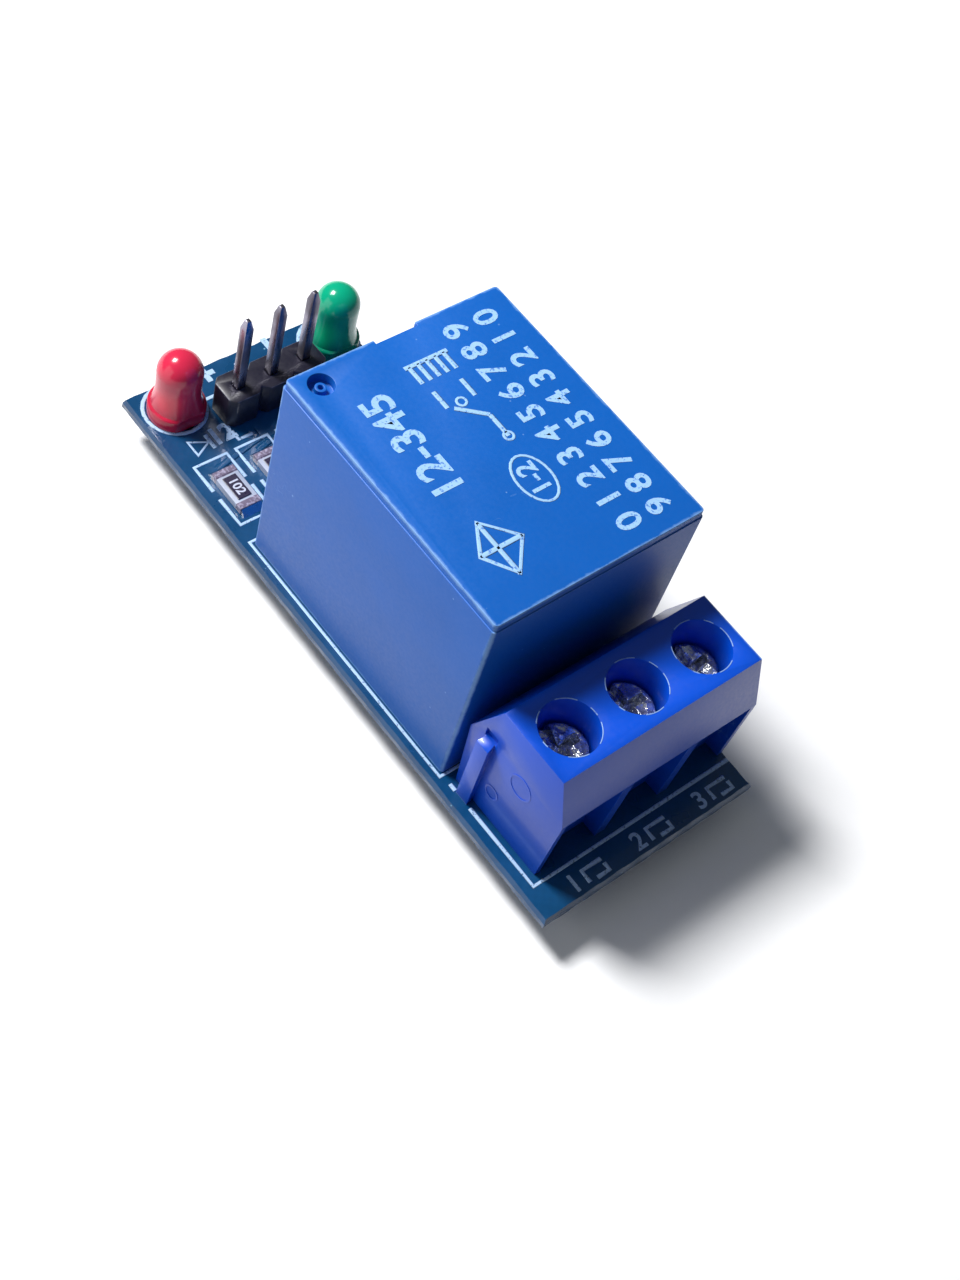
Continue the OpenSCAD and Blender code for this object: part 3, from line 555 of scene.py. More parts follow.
@dataclass(frozen=True)
class Finish:
    """A surface finish. Subclasses say how its colour and roughness change over the surface."""

    name: str
    colour: tuple[float, float, float, float]
    roughness: float = 0.4
    metallic: float = 0.0
    coat: float = 0.0
    transmission: float = 0.0
    shine: float = 0.5

    def build(self, effects: Effects) -> bpy.types.Material:
        """Makes the material.

        Args:
            effects: The shared node groups.

        Returns:
            The material, with its pattern on object coordinates.
        """
        material = bpy.data.materials.new(self.name)
        material.use_nodes = True
        tree = Tree(material.node_tree)
        shader = material.node_tree.nodes["Principled BSDF"]
        shader.inputs["Metallic"].default_value = self.metallic
        shader.inputs["Coat Weight"].default_value = self.coat
        shader.inputs["Transmission Weight"].default_value = self.transmission
        shader.inputs["Specular IOR Level"].default_value = self.shine
        shader.inputs["IOR"].default_value = 1.5
        place = tree.add("ShaderNodeTexCoord").outputs["Object"]
        colour, roughness, normal = self.pattern(tree, effects, place)
        tree.feed(shader.inputs["Base Color"], colour)
        tree.feed(shader.inputs["Roughness"], roughness)
        tree.feed(shader.inputs["Normal"], normal)
        return material

    def pattern(self, tree: Tree, effects: Effects, place: bpy.types.NodeSocket) -> tuple:
        """The colour, roughness and normal over the surface."""
        grain = tree.use(effects.grain, Vector=place)
        colour = tree.mix(grain["Broad"], self.colour, self.shade(0.86))
        return colour, self.uneven(tree, grain["Fine"], 0.08), tree.bump(grain["Fine"], 0.004 * MM, 0.5)

    def shade(self, share: float) -> tuple[float, float, float, float]:
        """The finish's colour made darker, or lighter above 1."""
        return tuple(min(1.0, part * share) for part in self.colour[:3]) + (1.0,)

    def uneven(self, tree: Tree, value: object, spread: float) -> bpy.types.NodeSocket:
        """The roughness, changed by spread either way as a value goes from 0 to 1."""
        return tree.span(value, 0.25, 0.75, self.roughness - spread, self.roughness + spread)


@dataclass(frozen=True)
class Moulded(Finish):
    """A moulded plastic, with edges painted pale, partly as rubbed wear and partly as a painted edge
    highlight, specks and scratches.
    """

    low: Triple = (0, 0, 0)
    high: Triple = (0, 0, 0)
    rubbed: tuple[float, float, float, float] = (0.6, 0.75, 0.95, 1.0)
    wear_width: float = 0.09 * MM
    wear: float = 0.5
    specks: float = 0.035
    scratches: float = 0.1

    def pattern(self, tree: Tree, effects: Effects, place: bpy.types.NodeSocket) -> tuple:
        """Even plastic with pale edges, partly wear and partly painted highlight, a few specks and fine
        scratches.
        """
        grain = tree.use(effects.grain, Vector=place, Scale=4200.0)
        centre = tuple((a + b) / 2 for a, b in zip(self.low, self.high))
        half = tuple((b - a) / 2 for a, b in zip(self.low, self.high))
        edge = tree.use(effects.edge, Vector=place, Centre=centre, Half=half)["Distance"]
        worn_and_highlit = tree.use(effects.wear, Vector=place, Distance=edge, Width=self.wear_width, Amount=self.wear,
                        Scale=1100.0)["Mask"]
        speck = tree.use(effects.dust, Vector=place, Scale=620.0, Size=self.specks)["Mask"]
        slant = tree.stretched(place, (1.0, 0.28, 1.0))
        scratch = tree.use(effects.scratch, Vector=slant, Scale=900.0, Amount=self.scratches)["Mask"]
        light = tree.math("MULTIPLY", tree.math("MAXIMUM", speck, scratch), 0.55)
        marks = tree.math("MAXIMUM", worn_and_highlit, light)
        body = tree.mix(grain["Broad"], self.shade(1.07), self.shade(0.9))
        # The pale edge colour is partly rubbed wear and partly a painted highlight along the edges.
        colour = tree.mix(tree.math("MULTIPLY", marks, 0.85), body, self.rubbed)
        rough = tree.math("ADD", self.uneven(tree, grain["Fine"], 0.05), tree.math("MULTIPLY", marks, 0.2))
        height = tree.math("SUBTRACT", tree.math("MULTIPLY", grain["Fine"], 0.5), marks)
        return colour, rough, tree.bump(height, 0.006 * MM, 0.6)


@dataclass(frozen=True)
class Metal(Finish):
    """A plated or drawn metal, with streaks along one direction and dull patches."""

    streak: Triple = (1.0, 1.0, 0.1)
    dull: float = 0.7
    dents: float = 0.004 * MM

    def pattern(self, tree: Tree, effects: Effects, place: bpy.types.NodeSocket) -> tuple:
        """Drawing lines, dull patches and small dents."""
        lines = tree.noise(tree.stretched(place, self.streak), 9000.0, 2.0)
        grain = tree.use(effects.grain, Vector=place, Scale=5200.0)
        patch = tree.span(grain["Broad"], 0.4, 0.65)
        colour = tree.mix(patch, self.colour, self.shade(self.dull))
        rough = tree.math("ADD", self.uneven(tree, lines, 0.07), tree.math("MULTIPLY", patch, 0.1))
        height = tree.math("ADD", lines, grain["Broad"])
        return colour, rough, tree.bump(height, self.dents, 0.7)


@dataclass(frozen=True)
class Crumpled(Finish):
    """Zinc plating that a driver has pressed into small bright facets."""

    facet: float = 1150.0

    def pattern(self, tree: Tree, effects: Effects, place: bpy.types.NodeSocket) -> tuple:
        """Facets with tilted faces, dull in their hollows."""
        shift = tree.vector("SCALE", tree.noise_colour(place, 900.0), 0.0, 0.0, 0.0006)
        bent = tree.vector("ADD", place, shift)
        cell = tree.cells(bent, self.facet)
        fine = tree.noise(place, 3800.0, 3.0, 0.6)
        height = tree.math("ADD", cell, tree.math("MULTIPLY", fine, 0.12))
        colour = tree.mix(tree.span(cell, 0.1, 0.7), self.colour, self.shade(0.72))
        return colour, self.uneven(tree, fine, 0.06), tree.bump(height, 0.5 * MM, 1.0)


@dataclass(frozen=True)
class Solder(Finish):
    """Cooled solder, bright with soft ripples."""

    def pattern(self, tree: Tree, effects: Effects, place: bpy.types.NodeSocket) -> tuple:
        """Ripples where the metal set, and a dull skin in patches."""
        ripple = tree.noise(place, 2600.0, 2.0)
        skin = tree.span(tree.noise(place, 700.0, 2.0), 0.45, 0.7)
        colour = tree.mix(skin, self.colour, self.shade(0.78))
        rough = tree.math("ADD", self.roughness, tree.math("MULTIPLY", skin, 0.16))
        return colour, rough, tree.bump(ripple, 0.03 * MM, 0.8)


@dataclass(frozen=True)
class BoardMask(Finish):
    """Solder mask over copper and glass cloth."""

    weave: float = 1500.0

    def pattern(self, tree: Tree, effects: Effects, place: bpy.types.NodeSocket) -> tuple:
        """Cloudy mask with the cloth's weave just showing and a few specks."""
        cloud = tree.noise(place, 320.0, 3.0)
        x, y, _ = tree.split(place)
        wave = math.tau * self.weave
        cloth = tree.math("MULTIPLY", tree.math("SINE", tree.math("MULTIPLY", x, wave)),
                          tree.math("SINE", tree.math("MULTIPLY", y, wave)))
        speck = tree.use(effects.dust, Vector=place, Scale=900.0, Size=0.06)["Mask"]
        body = tree.mix(tree.span(cloud, 0.3, 0.7), self.colour, self.shade(1.25))
        woven = tree.mix(tree.math("MULTIPLY", tree.math("ADD", cloth, 1.0), 0.06), body, self.shade(0.5))
        colour = tree.mix(tree.math("MULTIPLY", speck, 0.6), woven, srgb(150, 205, 235))
        height = tree.math("ADD", tree.math("MULTIPLY", cloth, 0.2), cloud)
        return colour, self.uneven(tree, cloud, 0.06), tree.bump(height, 0.012 * MM, 0.5)


@dataclass(frozen=True)
class Fibre(Finish):
    """Bare glass-fibre edge of the board, snapped and rough."""

    def pattern(self, tree: Tree, effects: Effects, place: bpy.types.NodeSocket) -> tuple:
        """Layers of cloth, torn fibres and darker resin."""
        layer = tree.noise(tree.stretched(place, (0.25, 0.25, 4.0)), 2200.0, 4.0, 0.7)
        torn = tree.noise(place, 1800.0, 4.0, 0.7)
        resin = tree.mix(tree.span(layer, 0.38, 0.62), self.colour, self.shade(0.7))
        colour = tree.mix(tree.span(torn, 0.64, 0.8), resin, srgb(60, 120, 160))
        rough = self.uneven(tree, torn, 0.08)
        return colour, rough, tree.bump(tree.math("ADD", layer, torn), 0.06 * MM, 0.9)


@dataclass(frozen=True)
class Ink(Finish):
    """Printed ink that lets a little of the ground through."""

    ground: tuple[float, float, float, float] = (0, 0, 0, 1)
    missing: float = 0.3

    def pattern(self, tree: Tree, effects: Effects, place: bpy.types.NodeSocket) -> tuple:
        """Blotchy ink with pinholes."""
        blotch = tree.noise(place, 5200.0, 3.0, 0.7)
        hole = tree.span(blotch, 0.72 - self.missing * 0.4, 0.8 - self.missing * 0.4)
        thin = tree.mix(tree.noise(place, 900.0, 2.0), self.colour, self.shade(0.85))
        colour = tree.mix(tree.math("MULTIPLY", hole, 0.75), thin, self.ground)
        return colour, self.uneven(tree, blotch, 0.06), tree.bump(blotch, 0.01 * MM, 0.6)


@dataclass(frozen=True)
class Epoxy(Finish):
    """A lamp's tinted, milky epoxy, with a painted glow where light would gather inside it."""

    low: Triple = (0, 0, 0)
    high: Triple = (0, 0, 0)
    deep: tuple[float, float, float, float] = (0.3, 0.0, 0.02, 1.0)
    glow: tuple[float, float, float, float] = (1.0, 0.02, 0.05, 1.0)

    def pattern(self, tree: Tree, effects: Effects, place: bpy.types.NodeSocket) -> tuple:
        """Deeper colour at the flange, a painted pool of glowing light half way up and a milky cloud."""
        _, _, z = tree.split(place)
        tall = self.high[2] - self.low[2]
        middle = [(a + b) / 2 for a, b in zip(self.low, self.high)]
        # Painted light: a bright spot of the glow colour low on the lens, standing for light gathered inside
        # the epoxy.
        painted_glow_spot = (middle[0] + 0.95 * MM, middle[1] - 1.1 * MM, self.low[2] + 0.42 * tall)
        away = tree.vector("LENGTH", tree.vector("SUBTRACT", place, painted_glow_spot))
        foot = tree.span(z, self.low[2] + 0.12 * tall, self.low[2] + 0.34 * tall)
        cloud = tree.noise(place, 500.0, 3.0)
        body = tree.mix(foot, self.deep, self.colour)
        milky = tree.mix(tree.span(cloud, 0.35, 0.75, 0.0, 0.35), body, self.shade(1.35))
        colour = tree.mix(tree.span(away, 1.35 * MM, 0.25 * MM, 0.0, 0.9), milky, self.glow)
        return colour, self.uneven(tree, cloud, 0.03), tree.bump(cloud, 0.01 * MM, 0.3)


@dataclass(frozen=True)
class ChipBody(Finish):
    """A chip resistor: bare ceramic between two tinned ends, whose tin is painted dark mauve with pale
    patches, partly its own grey and partly a painted reflection.
    """

    middle: float = 0.0
    reach: float = 1.08 * MM
    tin: tuple[float, float, float, float] = (0.16, 0.13, 0.19, 1.0)

    def pattern(self, tree: Tree, effects: Effects, place: bpy.types.NodeSocket) -> tuple:
        """Ceramic or tin by how far a point is from the chip's middle."""
        x, _, _ = tree.split(place)
        away = tree.math("ABSOLUTE", tree.math("SUBTRACT", x, self.middle))
        tinned = tree.span(away, self.reach - 0.02 * MM, self.reach + 0.02 * MM)
        spots = tree.noise(place, 4200.0, 3.0)
        ceramic = tree.mix(spots, self.colour, self.shade(0.8))
        # Painted reflection: the tin's dark mauve and pale patches stand partly for what the ends reflect.
        tin = tree.mix(tree.span(spots, 0.45, 0.7), self.tin, srgb(168, 162, 186))
        rough = tree.math("SUBTRACT", self.uneven(tree, spots, 0.08), tree.math("MULTIPLY", tinned, 0.22))
        return tree.mix(tinned, ceramic, tin), rough, tree.bump(spots, 0.02 * MM, 0.6)


@dataclass(frozen=True)
class Winding(Finish):
    """Enamelled wire wound round a bobbin in close turns."""

    turns: float = 9000.0

    def pattern(self, tree: Tree, effects: Effects, place: bpy.types.NodeSocket) -> tuple:
        """A ridge for each turn of wire, with painted shade in the grooves between turns."""
        _, _, z = tree.split(place)
        wobble = tree.math("MULTIPLY", tree.noise(place, 900.0, 2.0), 0.05 * MM)
        turn = tree.math("SINE", tree.math("MULTIPLY", tree.math("ADD", z, wobble), self.turns * math.tau))
        # Painted shade: the grooves between turns are darkened to about a third of the wire colour.
        colour = tree.mix(tree.span(turn, -1.0, 0.2), self.shade(0.35), self.colour)
        return colour, self.uneven(tree, turn, 0.04), tree.bump(turn, 0.04 * MM, 0.9)


class Workshop:
    """Gives finished pieces their materials, places and bodies."""

    def __init__(self) -> None:
        """Starts with the shared effects and no materials."""
        self.effects = Effects()
        self.materials: dict[str, bpy.types.Material] = {}

    @staticmethod
    def fitted(finish: Finish, node: str) -> Finish:
        """A moulded finish with its wear set to the edges of a node's box."""
        if isinstance(finish, Moulded) and finish.high == finish.low:
            low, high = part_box(node)
            return replace(finish, name=f"{finish.name}_{node}", low=tuple(low), high=tuple(high))
        return finish

    def material(self, finish: Finish) -> bpy.types.Material:
        """The material of a finish, made once."""
        if finish.name not in self.materials:
            self.materials[finish.name] = finish.build(self.effects)
        return self.materials[finish.name]

    def coat(self, piece: bpy.types.Object, *finishes: Finish) -> None:
        """Gives a piece its finishes in slot order."""
        piece.data.materials.clear()
        for finish in finishes:
            piece.data.materials.append(self.material(finish))

    def hand_over(self, piece: bpy.types.Object, slot: str, *finishes: Finish,
                  node: Optional[str] = None, body: str = "board") -> bpy.types.Object:
        """Coats a piece, puts it on a body and hides the CAD node that it replaces.

        Args:
            piece: The finished piece.
            slot: Not used.
            finishes: Its finishes in slot order.
            node: The CAD node that it replaces, if any.
            body: The body that it moves with.

        Returns:
            The piece.
        """
        self.coat(piece, *finishes)
        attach(piece, body)
        if node:
            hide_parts(node)
        LOG.info("%s: %d faces", piece.name, len(piece.data.polygons))
        return piece

    def dress(self, finish: Finish, *nodes: str) -> None:
        """Gives CAD nodes that keep their shape a finish."""
        for node in nodes:
            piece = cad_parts[node]
            piece.data.materials.clear()
            piece.data.materials.append(self.material(self.fitted(finish, node)))

    def rounded(self, node: str, slot: str, finish: Finish, width: float, segments: int = 2,
                body: str = "board") -> bpy.types.Object:
        """Replaces a CAD node with a copy whose edges are rounded.

        Args:
            node: The CAD node.
            slot: The material slot's name, passed on to hand_over.
            finish: Its finish.
            width: The rounding's width, in metres.
            segments: How many steps the rounding has.
            body: The body that it moves with.

        Returns:
            The new piece.
        """
        piece = Bench.from_node(node, node + "_dressed")
        Bench.bevel(piece, width, segments)
        Bench.smooth(piece)
        return self.hand_over(piece, slot, self.fitted(finish, node), node=node, body=body)


PALE_INK = srgb(176, 206, 240)
TINNED = Metal("tinned_pin", srgb(150, 146, 160), 0.28, 1.0, dull=0.5)
LEAD = Metal("tinned_lead", srgb(176, 176, 184), 0.26, 1.0, dull=0.6)
BRIGHT_SOLDER = Solder("solder", srgb(196, 198, 204), 0.2, 1.0)
BLACK_PLASTIC = Moulded("black_plastic", srgb(26, 24, 40), 0.38, rubbed=srgb(95, 100, 120), specks=0.05)
DARK_PLASTIC = Moulded("dark_plastic", srgb(30, 30, 33), 0.42, rubbed=srgb(90, 92, 98))
SOFT_IRON = Metal("soft_iron", srgb(160, 158, 154), 0.36, 1.0, dull=0.75)
BRONZE = Metal("spring_bronze", srgb(205, 140, 84), 0.3, 1.0)
SILVER = Metal("silver_contact", srgb(214, 212, 206), 0.24, 1.0)
BRASS = Metal("relay_brass", srgb(198, 160, 88), 0.32, 1.0)
CAGE_BRASS = Metal("plated_brass", srgb(170, 168, 160), 0.3, 1.0)
STEEL = Crumpled("plated_steel", srgb(236, 240, 248), 0.24, 0.85)
COPPER = Winding("coil_lacquer", srgb(178, 84, 36), 0.28, 0.6, coat=0.4)
GLASS = Finish("amber_glass", srgb(232, 150, 96), 0.08, transmission=0.85)
DIE = Finish("lamp_crystal", srgb(210, 190, 120), 0.25)


@dataclass
class CircuitBoard:
    """The teal board with snapped fibre edges, tracks under the mask and white-blue print."""

    shop: Workshop
    step: float = 0.55 * MM
    torn: float = 0.06 * MM
    band: float = 0.7 * MM
    reach: float = 0.3 * MM
    line: float = 0.3 * MM
    gap: float = 0.42 * MM

    def build(self) -> None:
        """Makes the board, its tracks and its print."""
        self.low, self.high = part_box("circuit_board")
        self.mask = BoardMask("teal_board", srgb(0, 62, 104), 0.3, coat=0.25)
        self.body()
        self.tracks()
        self.legend()

    def body(self) -> None:
        """A copy of the board whose four snapped edges are uneven."""
        piece = Bench.from_node("circuit_board", "board_dressed")
        for along in (0, 1):
            count = int((self.high[along] - self.low[along]) / self.step)
            places = [self.low[along] + self.step * (n + 0.5) for n in range(count)]
            across = 1 - along
            rim = self.high[across] - self.band
            Bench.slice(piece, along, places, lambda middle, a=across, r=rim: abs(middle[a]) > r)
        for vertex in piece.data.vertices:
            x, y, z = vertex.co
            for axis, limit in ((0, self.high[0]), (1, self.high[1])):
                inset = limit - abs(vertex.co[axis])
                if inset < self.reach:
                    depth = self.torn * (0.35 + 0.3 * self.wave(x, y, z))
                    vertex.co[axis] -= math.copysign(max(0.0, depth), vertex.co[axis])
        for face in piece.data.polygons:
            face.material_index = 1 if abs(face.normal.z) < 0.75 else 0
        fibre = Fibre("board_edge", srgb(214, 232, 246), 0.5)
        self.shop.hand_over(piece, "teal_board", self.mask, fibre, node="circuit_board")

    @staticmethod
    def wave(x: float, y: float, z: float) -> float:
        """How far a snapped edge sways in or out at a place, from -2 to 2."""
        slow = math.sin(x * 4100 + z * 900) * math.sin(y * 3700 + 2)
        return slow + math.sin(x * 9700 + y * 8300 + z * 7000)

    def tracks(self) -> None:
        """Copper tracks that show as low ridges under the mask."""
        runs = []
        for number in (1, 2, 3):
            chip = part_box(f"resistor_{number}")
            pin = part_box(f"header_pin_{number}")
            y = (chip[0][1] + chip[1][1]) / 2
            pin_y = (pin[0][1] + pin[1][1]) / 2
            runs.append([(pin[1][0] + 1.6 * MM, pin_y), (chip[0][0] - 1.2 * MM, pin_y),
                         (chip[0][0] - 0.5 * MM, y)])
            runs.append([(chip[1][0] + 0.4 * MM, y), (chip[1][0] + 1.1 * MM, y + 0.7 * MM)])
        piece = Bench.lines("board_tracks", runs, 0.5 * MM, self.high[2], 0.015 * MM)
        self.shop.hand_over(piece, "teal_board", self.mask)

    def bracket(self, node: str) -> list[list[Point]]:
        """Two facing U shapes round a chip."""
        low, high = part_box(node)
        x0, y0, x1, y1 = low[0] - 1.25 * MM, low[1] - self.gap, high[0] + 0.68 * MM, high[1] + self.gap
        cut = (low[0] + high[0]) / 2
        return [[(cut - 0.7 * MM, y0), (x0, y0), (x0, y1), (cut - 0.7 * MM, y1)],
                [(cut, y0), (x1, y0), (x1, y1), (cut, y1)]]

    def legend(self) -> None:
        """Outlines round the parts, plain figures and signs."""
        strokes: list[list[Point]] = []
        for node in ("resistor_1", "resistor_2", "resistor_3"):
            strokes += self.bracket(node)
        for node in ("red_lens", "green_lens"):
            low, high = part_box(node)
            middle = (low[0] + high[0]) / 2, (low[1] + high[1]) / 2
            radius = min(2.36 * MM, self.high[0] + middle[0] - 0.25 * MM)
            strokes.append(arc(*middle, radius))
        low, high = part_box("relay_cover")
        x0, x1, y0, y1 = low[0] - 0.12 * MM, high[0] + 0.14 * MM, low[1] - 0.2 * MM, high[1] + 0.16 * MM
        strokes.append([(x0, y0), (x1, y0), (x1, y1), (x0, y1), (x0, y0)])
        low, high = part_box("terminal_housing")
        y0 = low[1] + 0.05 * MM
        strokes += [[(low[0] + 0.5 * MM, y0), (low[0] + 1.0 * MM, y0)],
                    [(low[0] + 2.4 * MM, y0), (high[0] + 0.3 * MM, y0), (high[0] + 0.3 * MM, high[1])]]
        low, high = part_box("header_body")
        corner = high[0] + 0.9 * MM
        y0 = low[1] + 0.1 * MM
        strokes.append([(corner - 0.8 * MM, y0), (corner, y0), (corner, low[1] + 1.2 * MM)])
        strokes.append([(low[0] - 0.35 * MM, low[1]), (low[0] - 0.35 * MM, high[1])])
        low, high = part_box("red_lens")
        x, y, half = high[0] + 1.55 * MM, low[1] + 1.8 * MM, 0.6 * MM
        foot = y - 0.7 * MM
        strokes += [[(x - half, foot), (x + half, foot), (x, y + 0.5 * MM), (x - half, foot)],
                    [(x - half, y + half), (x + half, y + half)]]
        pieces = [Bench.lines("print_lines", strokes, self.line, self.high[2])]
        pieces += self.figures()
        ink = Ink("board_ink", PALE_INK, 0.55, ground=self.mask.colour, missing=0.35)
        piece = Bench.join("board_print", pieces)
        for vertex in piece.data.vertices:
            for axis in (0, 1):
                vertex.co[axis] = min(max(vertex.co[axis], self.low[axis]), self.high[axis])
        self.shop.hand_over(piece, "teal_board", ink)

    def figures(self) -> list[bpy.types.Object]:
        """Signs by the header's pins and figures by the terminal's ways."""
        pieces = []
        for number, sign in ((1, "+"), (2, "-"), (3, "1")):
            low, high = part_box(f"header_pin_{number}")
            spot = (self.low[0] + 0.95 * MM, (low[1] + high[1]) / 2)
            pieces.append(Bench.numeral(f"header_sign_{number}", sign, spot, 1.7 * MM, self.high[2], 90,
                                        bold=0.06))
        low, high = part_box("red_lens")
        spot = (high[0] + 1.45 * MM, high[1] - 0.45 * MM)
        pieces.append(Bench.numeral("lamp_figure", "12", spot, 1.3 * MM, self.high[2], 90, bold=0.05))
        for number in (1, 2, 3):
            low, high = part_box(f"clamp_screw_{number}")
            y = (low[1] + high[1]) / 2
            x = self.high[0] - 0.95 * MM
            pieces.append(Bench.numeral(f"way_figure_{number}", str(number), (x, y - 0.9 * MM), 1.15 * MM,
                                        self.high[2], 90))
            left, right, end = x - 0.42 * MM, x + 0.42 * MM, y + 1.5 * MM
            mark = [[(right, y), (left, y), (left, end)],
                    [(right, y + 0.55 * MM), (right, end), (x - 0.1 * MM, end)]]
            pieces.append(Bench.lines(f"way_mark_{number}", mark, self.line, self.high[2]))
        return pieces


@dataclass
class Relay:
    """The cube relay: a scuffed blue cover with a printed contact diagram, and its inside."""

    shop: Workshop
    rounding: float = 0.2 * MM

    def build(self) -> None:
        """Makes the cover, its print and the dressed mechanism."""
        self.low, self.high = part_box("relay_cover")
        self.blue = Moulded("relay_blue", srgb(0, 94, 186), 0.44, shine=0.5, low=tuple(self.low),
                            high=tuple(self.high), rubbed=srgb(150, 195, 240), wear_width=0.24 * MM, wear=0.72,
                            specks=0.05, scratches=0.07)
        self.shop.rounded("relay_cover", "relay_blue", self.blue, self.rounding, 3)
        self.diagram()
        self.shop.dress(DARK_PLASTIC, "relay_base", "relay_bobbin")
        self.shop.dress(COPPER, "relay_winding")
        self.shop.dress(SOFT_IRON, "relay_core", "relay_yoke", "relay_armature")
        self.shop.dress(BRONZE, "relay_spring")
        self.shop.dress(SILVER, "moving_contact", "open_contact", "closed_contact")
        self.shop.dress(BRASS, "open_terminal", "closed_terminal", "common_terminal")
        self.shop.dress(BRASS, "coil_pin_1", "coil_pin_2")

    def spot(self, across: float, along: float) -> Point:
        """A place on the top, as shares of its length and width from the middle."""
        x = (self.low[0] + self.high[0]) / 2 + across * (self.high[0] - self.low[0]) / 2
        y = (self.low[1] + self.high[1]) / 2 + along * (self.high[1] - self.low[1]) / 2
        return x, y

    def path(self, *shares: Point) -> list[Point]:
        """A stroke through places given as shares."""
        return [self.spot(*share) for share in shares]

    def diagram(self) -> None:
        """Rows of plain figures and generic contact signs, stamped slightly rough."""
        top = self.high[2]
        thick = [self.path((0.58, -0.72), (0.78, -0.56), (0.58, -0.34), (0.38, -0.56), (0.58, -0.72)),
                 self.path((0.38, -0.56), (0.78, -0.56)), self.path((0.58, -0.72), (0.58, -0.34)),
                 self.path((-0.02, 0.14), (-0.2, 0.14)), self.path((-0.2, 0.14), (-0.34, -0.06)),
                 self.path((-0.36, 0.16), (-0.5, 0.16)), self.path((-0.36, -0.1), (-0.5, -0.1))]
        thick += [self.path((-0.58, y), (-0.72, y)) for y in (-0.12, -0.04, 0.04, 0.12, 0.2)]
        thick.append(self.path((-0.72, -0.16), (-0.72, 0.24)))
        x, y = self.spot(0.3, 0.06)
        thin = [arc(x, y, 1.7 * MM, squash=0.66), arc(*self.spot(-0.02, 0.14), 0.3 * MM, steps=12),
                arc(*self.spot(-0.36, 0.03), 0.3 * MM, steps=12)]
        pieces = [Bench.lines("diagram_thick", thick, 0.34 * MM, top),
                  Bench.lines("diagram_thin", thin, 0.2 * MM, top),
                  Bench.numeral("way_sign", "1-2", (x, y), 1.25 * MM, top, 180)]
        rows = (("12-345", -0.24, -0.53, 2.0), ("0 1 2 3 4 5 6 7 8 9", 0.0, 0.43, 1.6),
                ("9 8 7 6 5 4 3 2 1 0", 0.0, 0.72, 1.6))
        for n, (text, across, along, height) in enumerate(rows):
            spot = self.spot(across, along)
            pieces.append(Bench.numeral(f"figure_row_{n}", text, spot, height * MM, top, 180))
        ink = Ink("relay_ink", srgb(160, 202, 244), 0.5, ground=self.blue.colour, missing=0.42)
        self.shop.hand_over(Bench.join("relay_print", pieces), "relay_blue", ink)


@dataclass
class TerminalBlock:
    """The three-way screw terminal with its cages, guards and cross-slotted screws."""

    shop: Workshop
    ways: int = 3

    def build(self) -> None:
        """Makes the housing, its moulding marks and the three clamps."""
        low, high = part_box("terminal_housing")
        blue = Moulded("terminal_blue", srgb(0, 78, 206), 0.34, shine=0.5, low=tuple(low), high=tuple(high),
                       rubbed=srgb(150, 190, 235), wear_width=0.11 * MM, wear=0.66, specks=0.03, coat=0.15)
        self.shop.rounded("terminal_housing", "terminal_blue", blue, 0.09 * MM, 2)
        self.ejector_marks(blue, low)
        self.burrs(high[2])
        for number in range(1, self.ways + 1):
            self.shop.dress(CAGE_BRASS, f"clamp_cage_{number}")
            self.shop.dress(CAGE_BRASS, f"wire_guard_{number}")
            self.screw(number)

    def ejector_marks(self, blue: Finish, low: Sequence[float]) -> None:
        """Round marks of ejector pins moulded on the end face."""
        pieces = []
        for number, (x, z, radius) in enumerate(((4.6, 5.4, 0.9), (3.0, 2.4, 0.55))):
            centre = (low[0] + x * MM, low[1] + 0.55 * MM, low[2] + z * MM)
            ring = Bench.drum(f"mark_{number}", centre, radius * MM, 0.06 * MM, Axis.Y, 40)
            hole = Bench.drum("mark_hole", centre, (radius - 0.12) * MM, 0.2 * MM, Axis.Y, 40)
            Bench.cut(ring, hole)
            pieces.append(ring)
        piece = Bench.join("ejector_marks", pieces)
        Bench.smooth(piece)
        self.shop.hand_over(piece, "terminal_blue", blue)

    def burrs(self, top: float) -> None:
        """Thin broken burrs round the rims of the screw wells."""
        strokes = []
        for number in range(1, self.ways + 1):
            low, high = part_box(f"clamp_screw_{number}")
            x, y = (low[0] + high[0]) / 2, (low[1] + high[1]) / 2
            reach, turn = (high[0] - low[0]) / 2 + 0.17 * MM, 17 * number
            for start, end in ((8, 52), (66, 84), (110, 150), (188, 214), (250, 262), (300, 338)):
                strokes.append(arc(x, y, reach, start + turn, end + turn, 8))
        piece = Bench.lines("well_burrs", strokes, 0.07 * MM, top, 0.025 * MM)
        ink = Ink("burr", srgb(150, 186, 240), 0.4, ground=srgb(0, 82, 212))
        self.shop.hand_over(piece, "terminal_blue", ink)

    def screw(self, number: int) -> None:
        """A screw whose head and cross have softened edges."""
        self.shop.rounded(f"clamp_screw_{number}", "plated_steel", STEEL, 0.1 * MM, 3,
                          body=f"screw_{number}")


